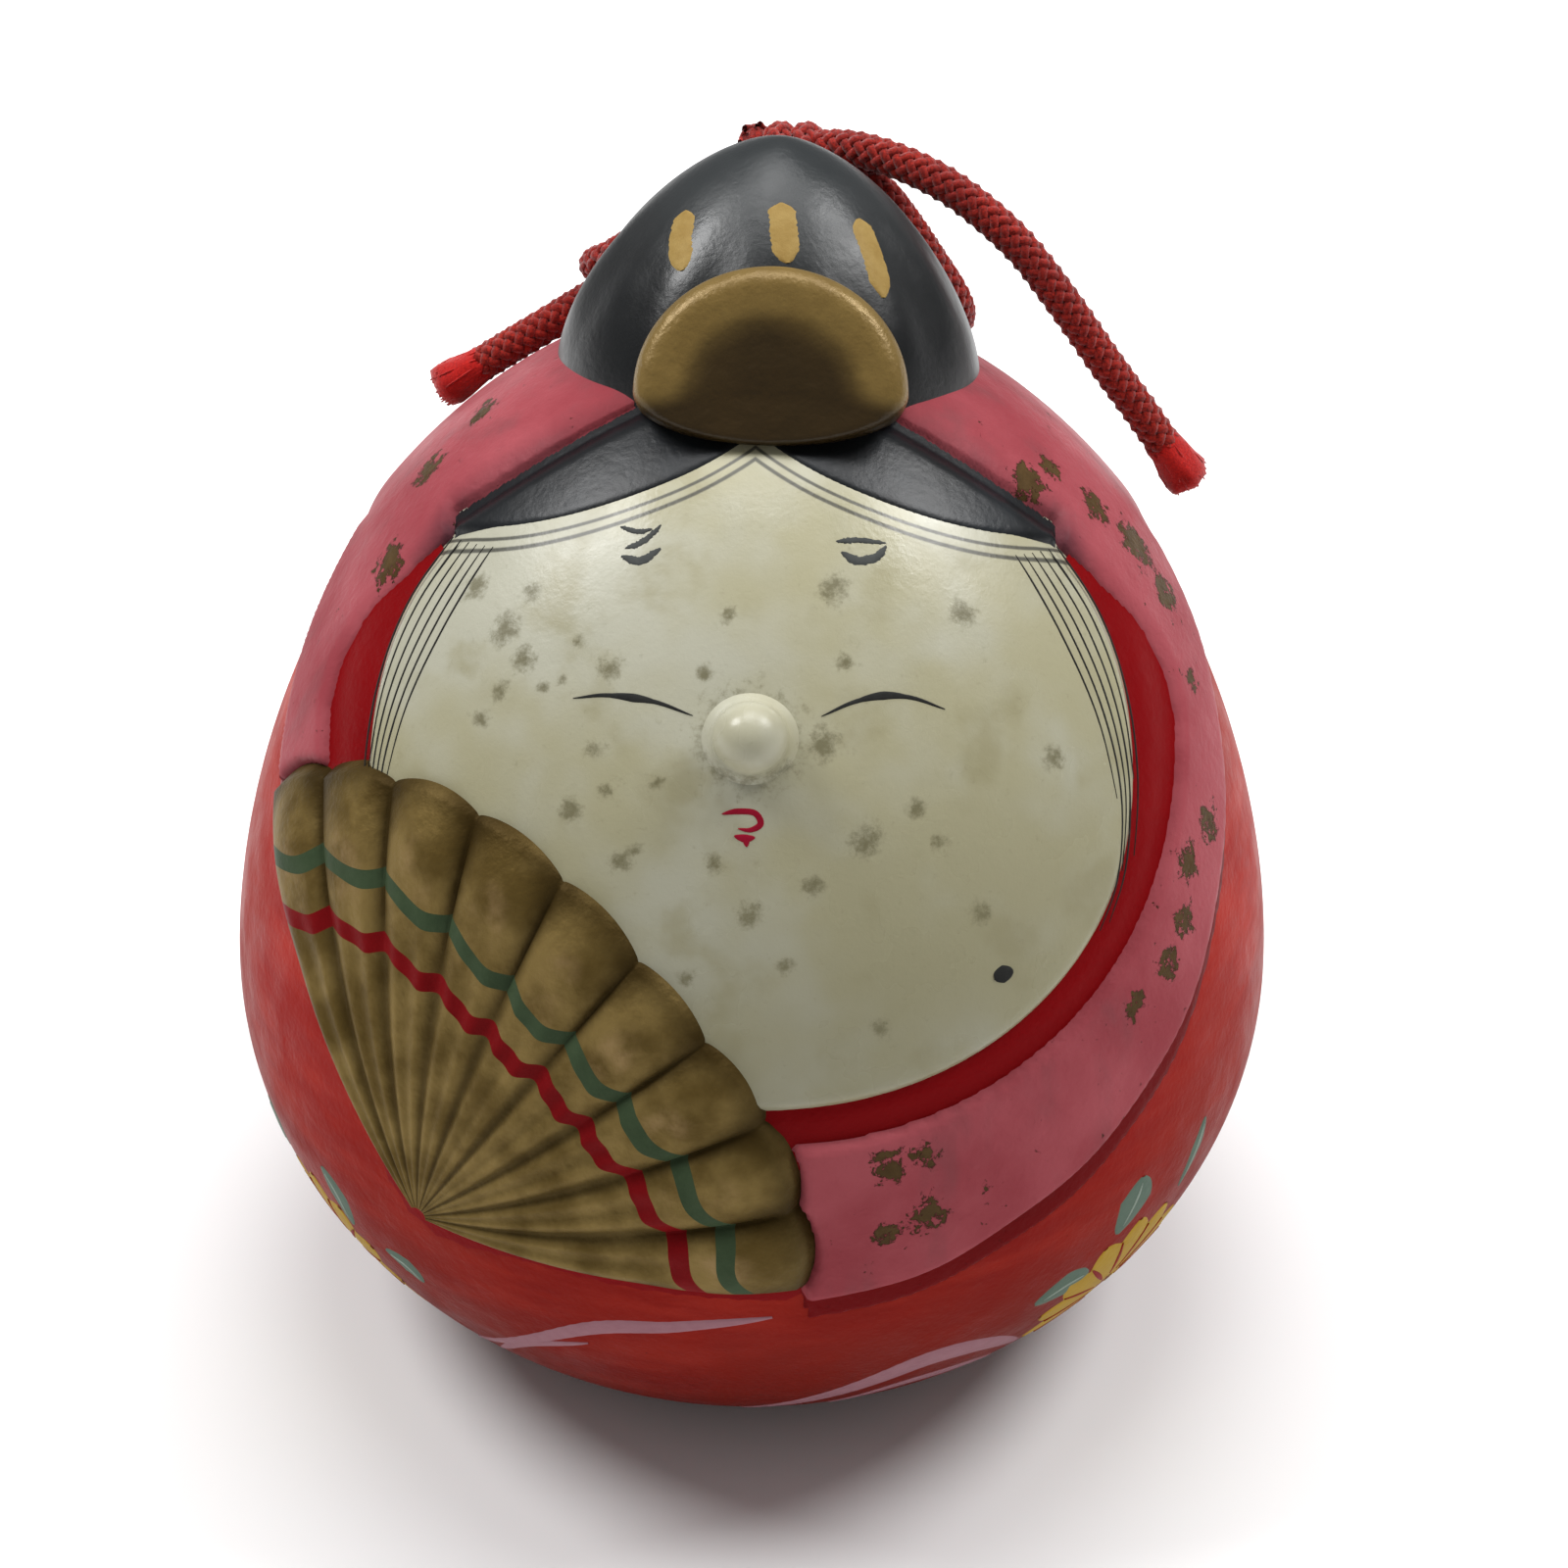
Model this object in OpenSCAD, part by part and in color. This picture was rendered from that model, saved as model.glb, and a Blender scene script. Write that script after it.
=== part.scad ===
// Hollow clay bell in the shape of a daruma doll: a hooded lady holding a fan.
// Two pressed shell halves ring around a loose clay pellet, and a braided cord
// is tied in a bow through a lug behind the hair bun. +X is the viewer's right,
// -Y the front and +Z up. The origin is the middle of the flat base.

/* [Body] */
// Widest diameter of the body
body_d = 66; // [56:1:76]
// Diameter of the flat base
base_d = 36; // [28:0.2:40]
// Height of the widest point above the base
belly_z = 23.4; // [21:0.1:27]
// Height from the widest point to the crown of the shell
crown_h = 42.5; // [40:0.1:44]
// Wall of the pressed shell
wall = 3.6; // [3:0.1:4.5]
// Lowest point of the cavity's dished floor
floor_z = 4; // [3:0.5:6]
// Radius of the dished floor
dish_r = 48; // [40:1:60]

/* [Sound slot] */
// Width of the slot cut along the seam
slot_w = 3; // [2:0.2:4]
// Distance between the round ends of the slot
slot_span = 24; // [14:1:26]
// Diameter of the round ends
slot_end_d = 6; // [4:0.5:7]

/* [Pellet] */
// Diameter of the loose clay pellet
pellet_d = 11; // [9:0.5:12]
// Room between the pellet and the floor
pellet_gap = 0.3; // [0.2:0.1:0.5]

/* [Relief] */
// How far the hood stands proud of the body
hood_t = 1.2; // [0.8:0.1:1.8]
// How far the red lining stands proud
lining_t = 0.6; // [0.4:0.1:0.8]
// How far the face and hair stand proud
face_t = 1.1; // [0.8:0.1:1.4]
// How far the fan's folds stand proud
fan_t = 2.6; // [2:0.1:4]
// Height of the hood's lower edge at the front
hood_front_z = 21.3; // [19:0.1:23]
// Rise of the hood's lower edge towards the back, in degrees
hood_tilt = 39.7; // [36:0.1:43]
// Height of the hood's lower edge at the back
hood_back_z = 52; // [48:0.5:56]

/* [Face] */
// Width of the face
face_w = 45; // [40:0.5:48]
// Height of the face's widest line
face_z = 47; // [45:0.5:49]
// From the widest line down to the chin
chin_h = 12.6; // [11:0.1:14]
// From the widest line up to the peak of the hairline
brow_h = 17.8; // [17:0.1:18.5]
// Diameter of the applied nose
nose_d = 4.4; // [4:0.2:5.2]

/* [Fan] */
// Number of folds
folds = 9; // [7:1:11]
// Radius of the fan at the viewer's left
fan_r = 24.4; // [22:0.2:26]
// How much shorter its radius is at the right
fan_fade = 2.6; // [0:0.2:4]
// Opening of the fan, in degrees
fan_open = 137; // [120:1:150]
// Lean of the fan towards the viewer's right, in degrees
fan_lean = 23.5; // [15:0.5:30]
// Height of the fan's pivot
fan_z = 23.5; // [22:0.1:25]
// Sideways place of the fan's pivot, seen from where the fan faces
fan_x = -2.2; // [-6:0.2:0]
// Azimuth that the fan faces, from the front, in degrees
fan_side = -30; // [-40:1:-25]

/* [Hair bun] */
// Diameter of the bun
bun_d = 25.4; // [22:0.2:28]
// Height of the bun
bun_h = 14; // [12:0.2:16]
// Width of the comb
comb_w = 15.6; // [13:0.2:17]
// Diameter of the cord hole in the lug
cord_hole_d = 3.4; // [3.2:0.1:3.6]

/* [Cord] */
// Diameter of the braided cord
cord_d = 2.4; // [2:0.1:2.8]

/* [Hidden] */

body_r = body_d / 2;
base_r = base_d / 2;
// Semi-height of the ellipse below the belly, which the base cuts off.
low_h = belly_z / sqrt(1 - pow(base_r / body_r, 2));
base_angle = -asin(belly_z / low_h);
// The shell rises above the belly as a superellipse of this exponent.
crown_power = 1.75;
crown_z = belly_z + crown_h;
// A layer gets thinner towards the crown by this share.
crown_share = 0.6;
step = 5;
far = 60;

red = "firebrick";
pink = "palevioletred";
black = "darkslategray";
gold = "darkgoldenrod";
cream = "beige";
cord_red = "brown";

// ---- Shell ---------------------------------------------------------------

// Outline of the shell, grown outwards, from the base to the crown.
function outline(grow) = concat(
    [for (i = [0:7]) let (a = base_angle * (1 - i / 8))
        [(body_r + grow) * cos(a), belly_z + low_h * sin(a)]],
    [for (a = [0:step:90])
        [(body_r + grow) * cos(a),
         belly_z + (crown_h + crown_share * grow) * pow(sin(a), 2 / crown_power)]]);

function reversed(list) = [for (i = [len(list) - 1:-1:0]) list[i]];

module egg(grow = 0) {
    rotate_extrude($fn = 96) polygon(concat([[0, 0]], outline(grow)));
}

// The layer of clay between the shell and a surface that stands proud of it.
module layer(grow) {
    rotate_extrude($fn = 96) polygon(concat(outline(grow), reversed(outline(0))));
}

// The hollow inside: even walls above, and a dished floor for the pellet.
module cavity() {
    intersection() {
        rotate_extrude($fn = 96) polygon(concat(
            [[0, 0]],
            [for (i = [0:7]) let (a = base_angle * (1 - i / 8))
                [(body_r - wall) * cos(a), belly_z + (low_h - wall) * sin(a)]],
            [for (a = [0:step:90])
                [(body_r - wall) * cos(a),
                 belly_z + (crown_h - wall) * pow(sin(a), 2 / crown_power)]]));
        translate([0, 0, floor_z + dish_r]) sphere(r = dish_r, $fn = 96);
    }
}

module sound_slot() {
    translate([-slot_span / 2, -slot_w / 2, -1]) cube([slot_span, slot_w, 12]);
    for (side = [-1, 1])
        translate([side * slot_span / 2, 0, -1]) cylinder(d = slot_end_d, h = 12, $fn = 48);
}

// One side of the upright plane through the middle: "front" faces -Y, and so on.
module side(name) {
    turn = name == "front" ? 0 : name == "right" ? 90 : name == "back" ? 180 : 270;
    rotate([0, 0, turn]) translate([-far, -2 * far, -far]) cube([2 * far, 2 * far, 3 * far]);
}

module shell_half(name) {
    color(red) intersection() {
        difference() {
            egg();
            cavity();
            sound_slot();
        }
        side(name);
    }
}

module body_front() { shell_half("front"); }
module body_back() { shell_half("back"); }

module pellet() {
    color("peru")
        translate([0, 0, floor_z + pellet_d / 2 + pellet_gap]) sphere(d = pellet_d, $fn = 64);
}

// ---- Outlines of the relief, seen from the front as [x, z] ------------------

// A point of an oval whose corners are fuller than an ellipse's.
oval_power = 2.3;
function full(c) = sign(c) * pow(abs(c), 2 / oval_power);
function oval(w, h, a) = [w / 2 * full(cos(a)), face_z + h * full(sin(a))];
function ellipse(w, h, a) = [w / 2 * cos(a), face_z + h * sin(a)];
function flipped(points) = [for (i = [len(points) - 1:-1:0]) [-points[i][0], points[i][1]]];

// From the cheek up to the temple, where the hair begins.
cheek_h = 17.5;
temple_angle = 39;
cheek_points = [for (a = [0:temple_angle / 6:temple_angle]) ellipse(face_w, cheek_h, a)];
temple = ellipse(face_w, cheek_h, temple_angle);
hairline_dip = 0.6;
peak = face_z + brow_h;

// The face runs from temple to temple round the chin, and up to its peak.
face_points = concat(
    [for (a = [186:6:354]) oval(face_w, chin_h, a)],
    cheek_points,
    [[temple[0] / 2, (temple[1] + peak) / 2 - hairline_dip], [0, peak],
     [-temple[0] / 2, (temple[1] + peak) / 2 - hairline_dip]],
    flipped(cheek_points));

// The hair is a soft arch over the hairline.
hair_h = 8;
hair_power = 1.8;
hair_points = concat(
    [for (i = [-8:8]) let (c = sin(i * 90 / 8))
        [temple[0] * c, temple[1] + hair_h * (1 - pow(abs(c), hair_power))]],
    [[temple[0], face_z + 8], [-temple[0], face_z + 8]]);

lining_w = 49.4;
lining_drop = 14.6;
lining_top = ellipse(face_w, cheek_h, 25);
lining_side = [lining_w / 2 - 0.5, face_z + 3];
lining_points = concat(
    [for (a = [180:6:360]) oval(lining_w, lining_drop, a)],
    [lining_side, lining_top],
    flipped([lining_side, lining_top]));

module front_prism(points) {
    rotate([90, 0, 0]) linear_extrude(far) polygon(points);
}

// ---- Fan -------------------------------------------------------------------

fold_angle = fan_open / folds;
scallop = 0.5;
lobe_steps = 4;

function on_fan(r, a) = [fan_x + r * sin(a), fan_z + r * cos(a)];

// The radius shrinks smoothly over the middle of the fan.
fade_from = -10;
fade_to = 45;
function eased(t) = t < 0 ? 0 : t > 1 ? 1 : t * t * (3 - 2 * t);
function radius(a) = fan_r - fan_fade * eased((a - fade_from) / (fade_to - fade_from));

// Outer edge of the fan: one bulge for each fold, in its own plane.
fan_edge = [for (i = [0:folds * lobe_steps])
    let (a = fan_lean - fan_open / 2 + i * fold_angle / lobe_steps)
        on_fan(radius(a) + scallop * abs(sin(180 * i / lobe_steps)), a)];
fan_skirt = 9;

module fan_plane() {
    rotate([0, 0, fan_side]) rotate([90, 0, 0]) linear_extrude(far) children();
}

module fan_prism() {
    fan_plane() polygon(concat([on_fan(-0.6, 0)], fan_edge));
}

// The fan and all that lies below it.
module under_fan() {
    drop = [0, -fan_skirt];
    fan_plane() polygon(concat([on_fan(0, 0) + drop, fan_edge[0] + drop],
                               fan_edge, [fan_edge[len(fan_edge) - 1] + drop]));
}

module fold_prism(n) {
    share = 0.31;
    mid = fan_lean - fan_open / 2 + (n + 0.5) * fold_angle;
    fan_plane() polygon([for (p = [[2, -1], [2, 1], [radius(mid), 1], [radius(mid), -1]])
        on_fan(p[0], mid + p[1] * share * fold_angle)]);
}

groove_t = 2;

module fan() {
    color(gold) union() {
        intersection() {
            layer(groove_t);
            fan_prism();
        }
        for (n = [0:folds - 1]) intersection() {
            layer(fan_t);
            fold_prism(n);
        }
    }
}

// ---- Hood, lining, face and fringe -------------------------------------------

module below_hood() {
    intersection() {
        translate([0, -body_r - hood_t / 2, hood_front_z]) rotate([hood_tilt, 0, 0])
            translate([-far, -far, -3 * far]) cube([2 * far, 4 * far, 3 * far]);
        translate([-far, -far, hood_back_z - 3 * far]) cube([2 * far, 2 * far, 3 * far]);
    }
}

module hood() {
    difference() {
        layer(hood_t);
        below_hood();
        front_prism(face_points);
        front_prism(hair_points);
        front_prism(lining_points);
        under_fan();
        bun_body();
    }
}

module hood_front(name) {
    color(pink) intersection() {
        hood();
        side("front");
        side(name);
    }
}

module hood_left() { hood_front("left"); }
module hood_right() { hood_front("right"); }

module hood_back() {
    color(pink) intersection() {
        hood();
        side("back");
    }
}

module lining(name) {
    color("maroon") difference() {
        intersection() {
            layer(lining_t);
            front_prism(lining_points);
            side(name);
        }
        front_prism(face_points);
        front_prism(hair_points);
        fan_prism();
    }
}

module lining_left() { lining("left"); }
module lining_right() { lining("right"); }

module face() {
    color(cream) difference() {
        intersection() {
            layer(face_t);
            front_prism(face_points);
        }
        fan_prism();
        nose_ball();
        bun_body();
    }
}

nose_y = -24.3;
nose_z = 54.3;

module nose_ball() {
    translate([0, nose_y, nose_z]) sphere(d = nose_d, $fn = 48);
}

module nose() {
    color(cream) difference() {
        nose_ball();
        egg();
    }
}

module hair_side(name) {
    color(black) difference() {
        intersection() {
            layer(face_t);
            front_prism(hair_points);
            side(name);
        }
        front_prism(face_points);
        bun_body();
    }
}

module hair_left() { hair_side("left"); }
module hair_right() { hair_side("right"); }

// ---- Hair bun, lug and comb ----------------------------------------------------

bun_r = bun_d / 2;
bun_place = [0.6, 4.8, 62.2];
bun_tilt = [-8, 2, 0];
bun_flank = 1.5;
bun_dome = 1.6;
skirt = 4;
lug_x = 1.2;
lug_y = 18.8;
lug_z = 63;
lug_r = 3;
lug_w = 3.2;
comb_t = 3.4;
comb_lean = 33;
comb_place = [0.8, -9.8, 64.6];
comb_top = 10.2;
comb_foot = 3;

// The bun is a soft bell: a wide skirt, leaning flanks and a round top.
module bun_body() {
    translate(bun_place) rotate(bun_tilt) rotate_extrude($fn = 96)
        polygon(concat([[0, -skirt], [bun_r, -skirt]],
                       [for (i = [0:15]) let (h = sin(i * 6))
                           [bun_r * pow(1 - pow(h, bun_flank), 1 / bun_dome), bun_h * h]]));
}

module lug_place() {
    translate([lug_x - lug_w / 2, lug_y, lug_z]) rotate([0, 90, 0]) children();
}

module hair_bun() {
    color(black) difference() {
        union() {
            bun_body();
            lug_place() cylinder(r = lug_r, h = lug_w, $fn = 64);
            translate([lug_x - lug_w / 2, lug_y - 6, lug_z - lug_r])
                cube([lug_w, 6, 2 * lug_r]);
        }
        egg();
        layer(hood_t);
        lug_place() translate([0, 0, -far / 2]) cylinder(d = cord_hole_d, h = far, $fn = 64);
    }
}

// Half-moon comb, leaning back against the front of the bun.
module comb() {
    color(gold) difference() {
        translate(comb_place) rotate([90 - comb_lean, 0, 0])
            translate([0, 0, -2 * comb_t]) linear_extrude(2 * comb_t + 1)
                polygon([for (a = [0:10:350])
                    [comb_w / 2 * cos(a),
                     comb_foot + (a < 180 ? comb_top - comb_foot : comb_foot) * sin(a)]]);
        bun_body();
        egg(hood_t);
    }
}

// ---- Cord -------------------------------------------------------------------

cord_r = cord_d / 2;
cord_sides = 8;
knot = [1.6, 18.2, 69.1];
knot_r = 2.9;
knot_w = 6.8;

ring_route = [[-0.8, 18, 68.6], [-1.9, 18.2, 66.9], [-1.7, 18.5, 65.1], [-0.6, 18.7, 63.4],
              [1.2, 18.8, 63], [3, 18.7, 63.4], [4.1, 18.5, 65.1], [4.3, 18.2, 66.9],
              [3.2, 18, 68.6]];
left_loop_route = [[-1, 17.4, 69.4], [-3.8, 16.5, 67.6], [-6.7, 15.7, 65.7], [-9.3, 15.6, 63.9],
                   [-10.4, 17.2, 62.6], [-9.6, 19.4, 61.6], [-7.4, 21.2, 61], [-5, 22, 62],
                   [-2.8, 21.6, 64.4], [-0.6, 20, 67]];
left_tail_route = [[-0.8, 19.4, 68.6], [-3.8, 20, 66.4], [-6.5, 18.9, 63.8], [-9.3, 17.1, 61.5],
                   [-12.3, 16, 59.8], [-15.3, 15.3, 58.1], [-17.6, 14.9, 56.7]];
right_loop_route = [[4.4, 17.6, 69.2], [7, 16.4, 68.4], [8.6, 15.8, 66.8], [10.4, 15.2, 64.3],
                    [12, 15.5, 61.6], [12.4, 17.2, 59.2], [11.2, 19.4, 58.2], [8.9, 21, 58.8],
                    [6.8, 21.8, 61], [5.2, 21.4, 64], [3.8, 20, 66.8]];
right_tail_route = [[3.8, 17.6, 70.6], [6.4, 16.2, 71], [9.6, 14.6, 70.5], [12.4, 13.4, 69.3],
                    [15.7, 12, 66.9], [18.6, 10.8, 63.6], [21.3, 10, 60], [23.6, 9.5, 57],
                    [25.2, 9.2, 54.8]];

function unit(v) = v / norm(v);

// A smooth curve through the points, with one more point between each two.
function smooth(p) = let (n = len(p)) [for (i = [0:2 * n - 2]) i % 2 == 0 ? p[i / 2]
    : let (k = (i - 1) / 2) (9 * (p[k] + p[k + 1]) - p[max(k - 1, 0)] - p[min(k + 2, n - 1)]) / 16];

function tangent(p, i) = unit(p[min(i + 1, len(p) - 1)] - p[max(i - 1, 0)]);

// A direction square to the route, carried along it without twisting.
function across(p, i) = let (t = tangent(p, i), u = i == 0 ? [0.3, 1, 0.2] : across(p, i - 1))
    unit(u - (u * t) * t);

// One ring of the tube, square to the route.
function ring(p, i, r) = let (u = across(p, i), v = cross(tangent(p, i), u))
    [for (s = [0:cord_sides - 1]) let (a = 360 * s / cord_sides) p[i] + r * (u * cos(a) + v * sin(a))];

module tube(points, r) {
    n = len(points);
    k = cord_sides;
    polyhedron(
        points = [for (i = [0:n - 1]) each ring(points, i, r)],
        faces = concat(
            [[for (s = [0:k - 1]) s]],
            [for (i = [0:n - 2], s = [0:k - 1])
                [i * k + s, (i + 1) * k + s, (i + 1) * k + (s + 1) % k, i * k + (s + 1) % k]],
            [[for (s = [k - 1:-1:0]) (n - 1) * k + s]]));
}

module knot_body() {
    translate(knot) rotate([0, 90, 0]) rotate_extrude($fn = 48)
        polygon([for (a = [-90:22.5:90]) [knot_r * full(cos(a)), knot_w / 2 * full(sin(a))]]);
}

module cord_run(route) {
    color(cord_red) difference() {
        tube(smooth(route), cord_r);
        knot_body();
    }
}

// Frayed end: the cut threads spread into a short tuft.
module tuft(route) {
    from = route[len(route) - 1];
    along = tangent(smooth(route), 2 * len(route) - 2);
    color("red") translate(from)
        rotate([0, acos(along[2]), atan2(along[1], along[0])]) rotate_extrude($fn = 32)
            polygon([[0, 0], [cord_r, 0], [1.5, 1.4], [1.6, 2.6], [1, 3.4], [0, 3.6]]);
}

module cord_ring() { cord_run(ring_route); }
module cord_knot() { color(cord_red) knot_body(); }
module left_loop() { cord_run(left_loop_route); }
module left_tail() { cord_run(left_tail_route); }
module left_frayed_end() { tuft(left_tail_route); }
module right_loop() { cord_run(right_loop_route); }
module right_tail() { cord_run(right_tail_route); }
module right_frayed_end() { tuft(right_tail_route); }

body_front();
body_back();
hood_left();
hood_right();
hood_back();
lining_left();
lining_right();
face();
nose();
hair_left();
hair_right();
hair_bun();
comb();
fan();
pellet();
cord_ring();
cord_knot();
left_loop();
left_tail();
left_frayed_end();
right_loop();
right_tail();
right_frayed_end();
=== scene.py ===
"""A painted clay bell in the shape of a hooded daruma lady, with its braided cord."""

import math

import bpy
import numpy as np
from mathutils import Matrix, Quaternion, Vector


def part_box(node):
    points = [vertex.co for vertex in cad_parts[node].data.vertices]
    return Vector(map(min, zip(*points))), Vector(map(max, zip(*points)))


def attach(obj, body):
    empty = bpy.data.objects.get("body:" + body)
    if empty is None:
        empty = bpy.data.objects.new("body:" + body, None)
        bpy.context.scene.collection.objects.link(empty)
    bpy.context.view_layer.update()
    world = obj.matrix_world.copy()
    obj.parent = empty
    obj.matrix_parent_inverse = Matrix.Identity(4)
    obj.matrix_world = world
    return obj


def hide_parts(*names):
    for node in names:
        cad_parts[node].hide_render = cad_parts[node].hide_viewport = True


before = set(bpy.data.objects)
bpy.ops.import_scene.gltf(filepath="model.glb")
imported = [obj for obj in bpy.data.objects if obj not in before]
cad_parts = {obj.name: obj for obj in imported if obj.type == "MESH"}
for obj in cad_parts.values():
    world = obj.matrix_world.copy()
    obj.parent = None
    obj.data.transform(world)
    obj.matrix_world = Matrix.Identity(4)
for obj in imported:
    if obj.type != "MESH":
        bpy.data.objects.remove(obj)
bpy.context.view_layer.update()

# All shapes are worked out in millimetres and become metres in new_mesh().
MM = 0.001
random = np.random.default_rng(7)

# ---- Camera -----------------------------------------------------------------

ELEVATION = math.radians(34)
DISTANCE = 230
TARGET = Vector((1.9, 0, 35))
LENS = 83.5
ROLL = math.radians(0.9)


def add_camera():
    """Look down at the front of the bell, with the slight tilt of a hand-held picture."""
    data = bpy.data.cameras.new("camera")
    data.sensor_width = 36
    data.lens = LENS
    data.clip_start = 0.01
    camera = bpy.data.objects.new("camera", data)
    bpy.context.collection.objects.link(camera)
    back = Vector((0, -math.cos(ELEVATION), math.sin(ELEVATION)))
    camera.location = (TARGET + back * DISTANCE) * MM
    camera.rotation_mode = "QUATERNION"
    facing = (-back).to_track_quat("-Z", "Y")
    camera.rotation_quaternion = facing @ Quaternion((0, 0, 1), ROLL)
    bpy.context.scene.camera = camera
    bpy.context.scene.view_settings.view_transform = "Standard"


add_camera()

# ---- Materials ----------------------------------------------------------------

# The studio is brighter than the swatches, so every paint gives back less light.
PAINT_DEPTH = 0.62
PAINT_SHINE = 0.03


def colour(red, green, blue):
    """A screen colour from 0 to 255 as the linear colour of a paint."""
    return tuple(PAINT_DEPTH * (c / 255) ** 2.2 for c in (red, green, blue)) + (1,)


class Paint:
    """A Principled material, with short ways to add procedural detail to it."""

    def __init__(self, name, roughness, **sockets):
        self.material = bpy.data.materials.new(name)
        self.material.use_nodes = True
        self.nodes = self.material.node_tree.nodes
        self.links = self.material.node_tree.links
        self.surface = self.nodes["Principled BSDF"]
        self.surface.inputs["Roughness"].default_value = roughness
        self.surface.inputs["Specular IOR Level"].default_value = PAINT_SHINE
        for key, value in sockets.items():
            self.surface.inputs[key.replace("_", " ")].default_value = value
        self.place = self.nodes.new("ShaderNodeTexCoord").outputs["Object"]

    def feed(self, socket, value):
        """Link a node's output to a socket, or set a number or a screen colour on it."""
        if isinstance(value, bpy.types.NodeSocket):
            self.links.new(value, socket)
        elif isinstance(value, tuple):
            socket.default_value = colour(*value)
        else:
            socket.default_value = value

    def noise(self, size, detail=3, rough=0.55, stretch=(1, 1, 1), seed=0):
        """Noise whose features are about size millimetres across."""
        mapping = self.nodes.new("ShaderNodeMapping")
        mapping.inputs["Scale"].default_value = [1 / s for s in stretch]
        self.links.new(self.place, mapping.inputs["Vector"])
        node = self.nodes.new("ShaderNodeTexNoise")
        node.noise_dimensions = "4D"
        node.inputs["Scale"].default_value = 1 / (size * MM)
        node.inputs["Detail"].default_value = detail
        node.inputs["Roughness"].default_value = rough
        node.inputs["W"].default_value = seed
        self.links.new(mapping.outputs["Vector"], node.inputs["Vector"])
        return node.outputs["Fac"]

    def measure(self, name):
        """A value stored at the points of the mesh."""
        node = self.nodes.new("ShaderNodeAttribute")
        node.attribute_name = name
        return node.outputs["Fac"]

    def height(self):
        """Height above the floor, in metres."""
        node = self.nodes.new("ShaderNodeSeparateXYZ")
        self.links.new(self.place, node.inputs["Vector"])
        return node.outputs["Z"]

    def math(self, operation, a, b=0.0):
        """Two values joined by a Math node's operation."""
        node = self.nodes.new("ShaderNodeMath")
        node.operation = operation
        self.feed(node.inputs[0], a)
        self.feed(node.inputs[1], b)
        return node.outputs["Value"]

    def ragged(self, name, noise, reach):
        """A stored measure that noise pushes up, by as much as reach."""
        return self.math("ADD", self.measure(name), self.math("MULTIPLY", noise, reach))

    def between(self, value, low, high, at_low=0.0, at_high=1.0):
        """Value mapped from low..high to at_low..at_high, smoothly and within them."""
        node = self.nodes.new("ShaderNodeMapRange")
        node.interpolation_type = "SMOOTHSTEP"
        self.feed(node.inputs["Value"], value)
        node.inputs["From Min"].default_value = low
        node.inputs["From Max"].default_value = high
        node.inputs["To Min"].default_value = at_low
        node.inputs["To Max"].default_value = at_high
        return node.outputs["Result"]

    def mix(self, share, a, b):
        """Colour a turned into colour b by a share from 0 to 1."""
        node = self.nodes.new("ShaderNodeMix")
        node.data_type = "RGBA"
        self.feed(node.inputs["Factor"], share)
        self.feed(node.inputs["A"], a)
        self.feed(node.inputs["B"], b)
        return node.outputs["Result"]

    def bump(self, height, depth, onto=None):
        """Bump of depth millimetres, added to an earlier bump."""
        node = self.nodes.new("ShaderNodeBump")
        node.inputs["Distance"].default_value = depth * MM
        self.feed(node.inputs["Height"], height)
        if onto is not None:
            self.links.new(onto, node.inputs["Normal"])
        return node.outputs["Normal"]

    def finish(self, base, roughness=None, normal=None):
        """The material, once its base colour, roughness and bump are joined up."""
        self.feed(self.surface.inputs["Base Color"], base)
        if roughness is not None:
            self.feed(self.surface.inputs["Roughness"], roughness)
        if normal is not None:
            self.links.new(normal, self.surface.inputs["Normal"])
        return self.material


def grain(paint, fine=0.35, broad=2.5, rough=1.0):
    """The bump of brushed paint over clay: fine grain on slow waves."""
    waves = paint.bump(paint.noise(broad, seed=3), 0.16 * rough)
    return paint.bump(paint.noise(fine, 4, 0.6, seed=9), 0.05 * rough, waves)


def body_paint():
    """Brushed red, worn in specks, with painted shade darkening it towards the foot."""
    paint = Paint("red_paint", 0.5)
    streaks = paint.noise(2.2, 4, stretch=(4, 4, 1), seed=1)
    base = paint.mix(paint.between(streaks, 0.35, 0.7), (176, 36, 28), (202, 54, 40))
    clouds = paint.between(paint.noise(16, seed=2), 0.4, 0.62)
    base = paint.mix(clouds, base, (178, 46, 34))
    worn = paint.between(paint.noise(1.1, 5, 0.7, seed=5), 0.69, 0.72)
    base = paint.mix(worn, base, (120, 46, 40))
    rough = paint.between(paint.noise(3, seed=4), 0.3, 0.7, 0.34, 0.5)
    # Painted shade: the red darkens towards the foot, where less light falls.
    foot_shade = paint.between(paint.height(), 0.002, 0.036, 0.65, 0)
    base = paint.mix(foot_shade, base, (60, 22, 14))
    return paint.finish(base, rough, grain(paint))


def bare_clay():
    """Fired clay with open pores."""
    paint = Paint("bare_clay", 0.85)
    base = paint.mix(paint.noise(3, 5, seed=1), (176, 132, 96), (132, 92, 66))
    pits = paint.between(paint.noise(0.9, 4, seed=6), 0.6, 0.68)
    base = paint.mix(pits, base, (92, 62, 46))
    return paint.finish(base, None, paint.bump(paint.noise(0.5, 6, 0.7), 0.3))


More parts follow.
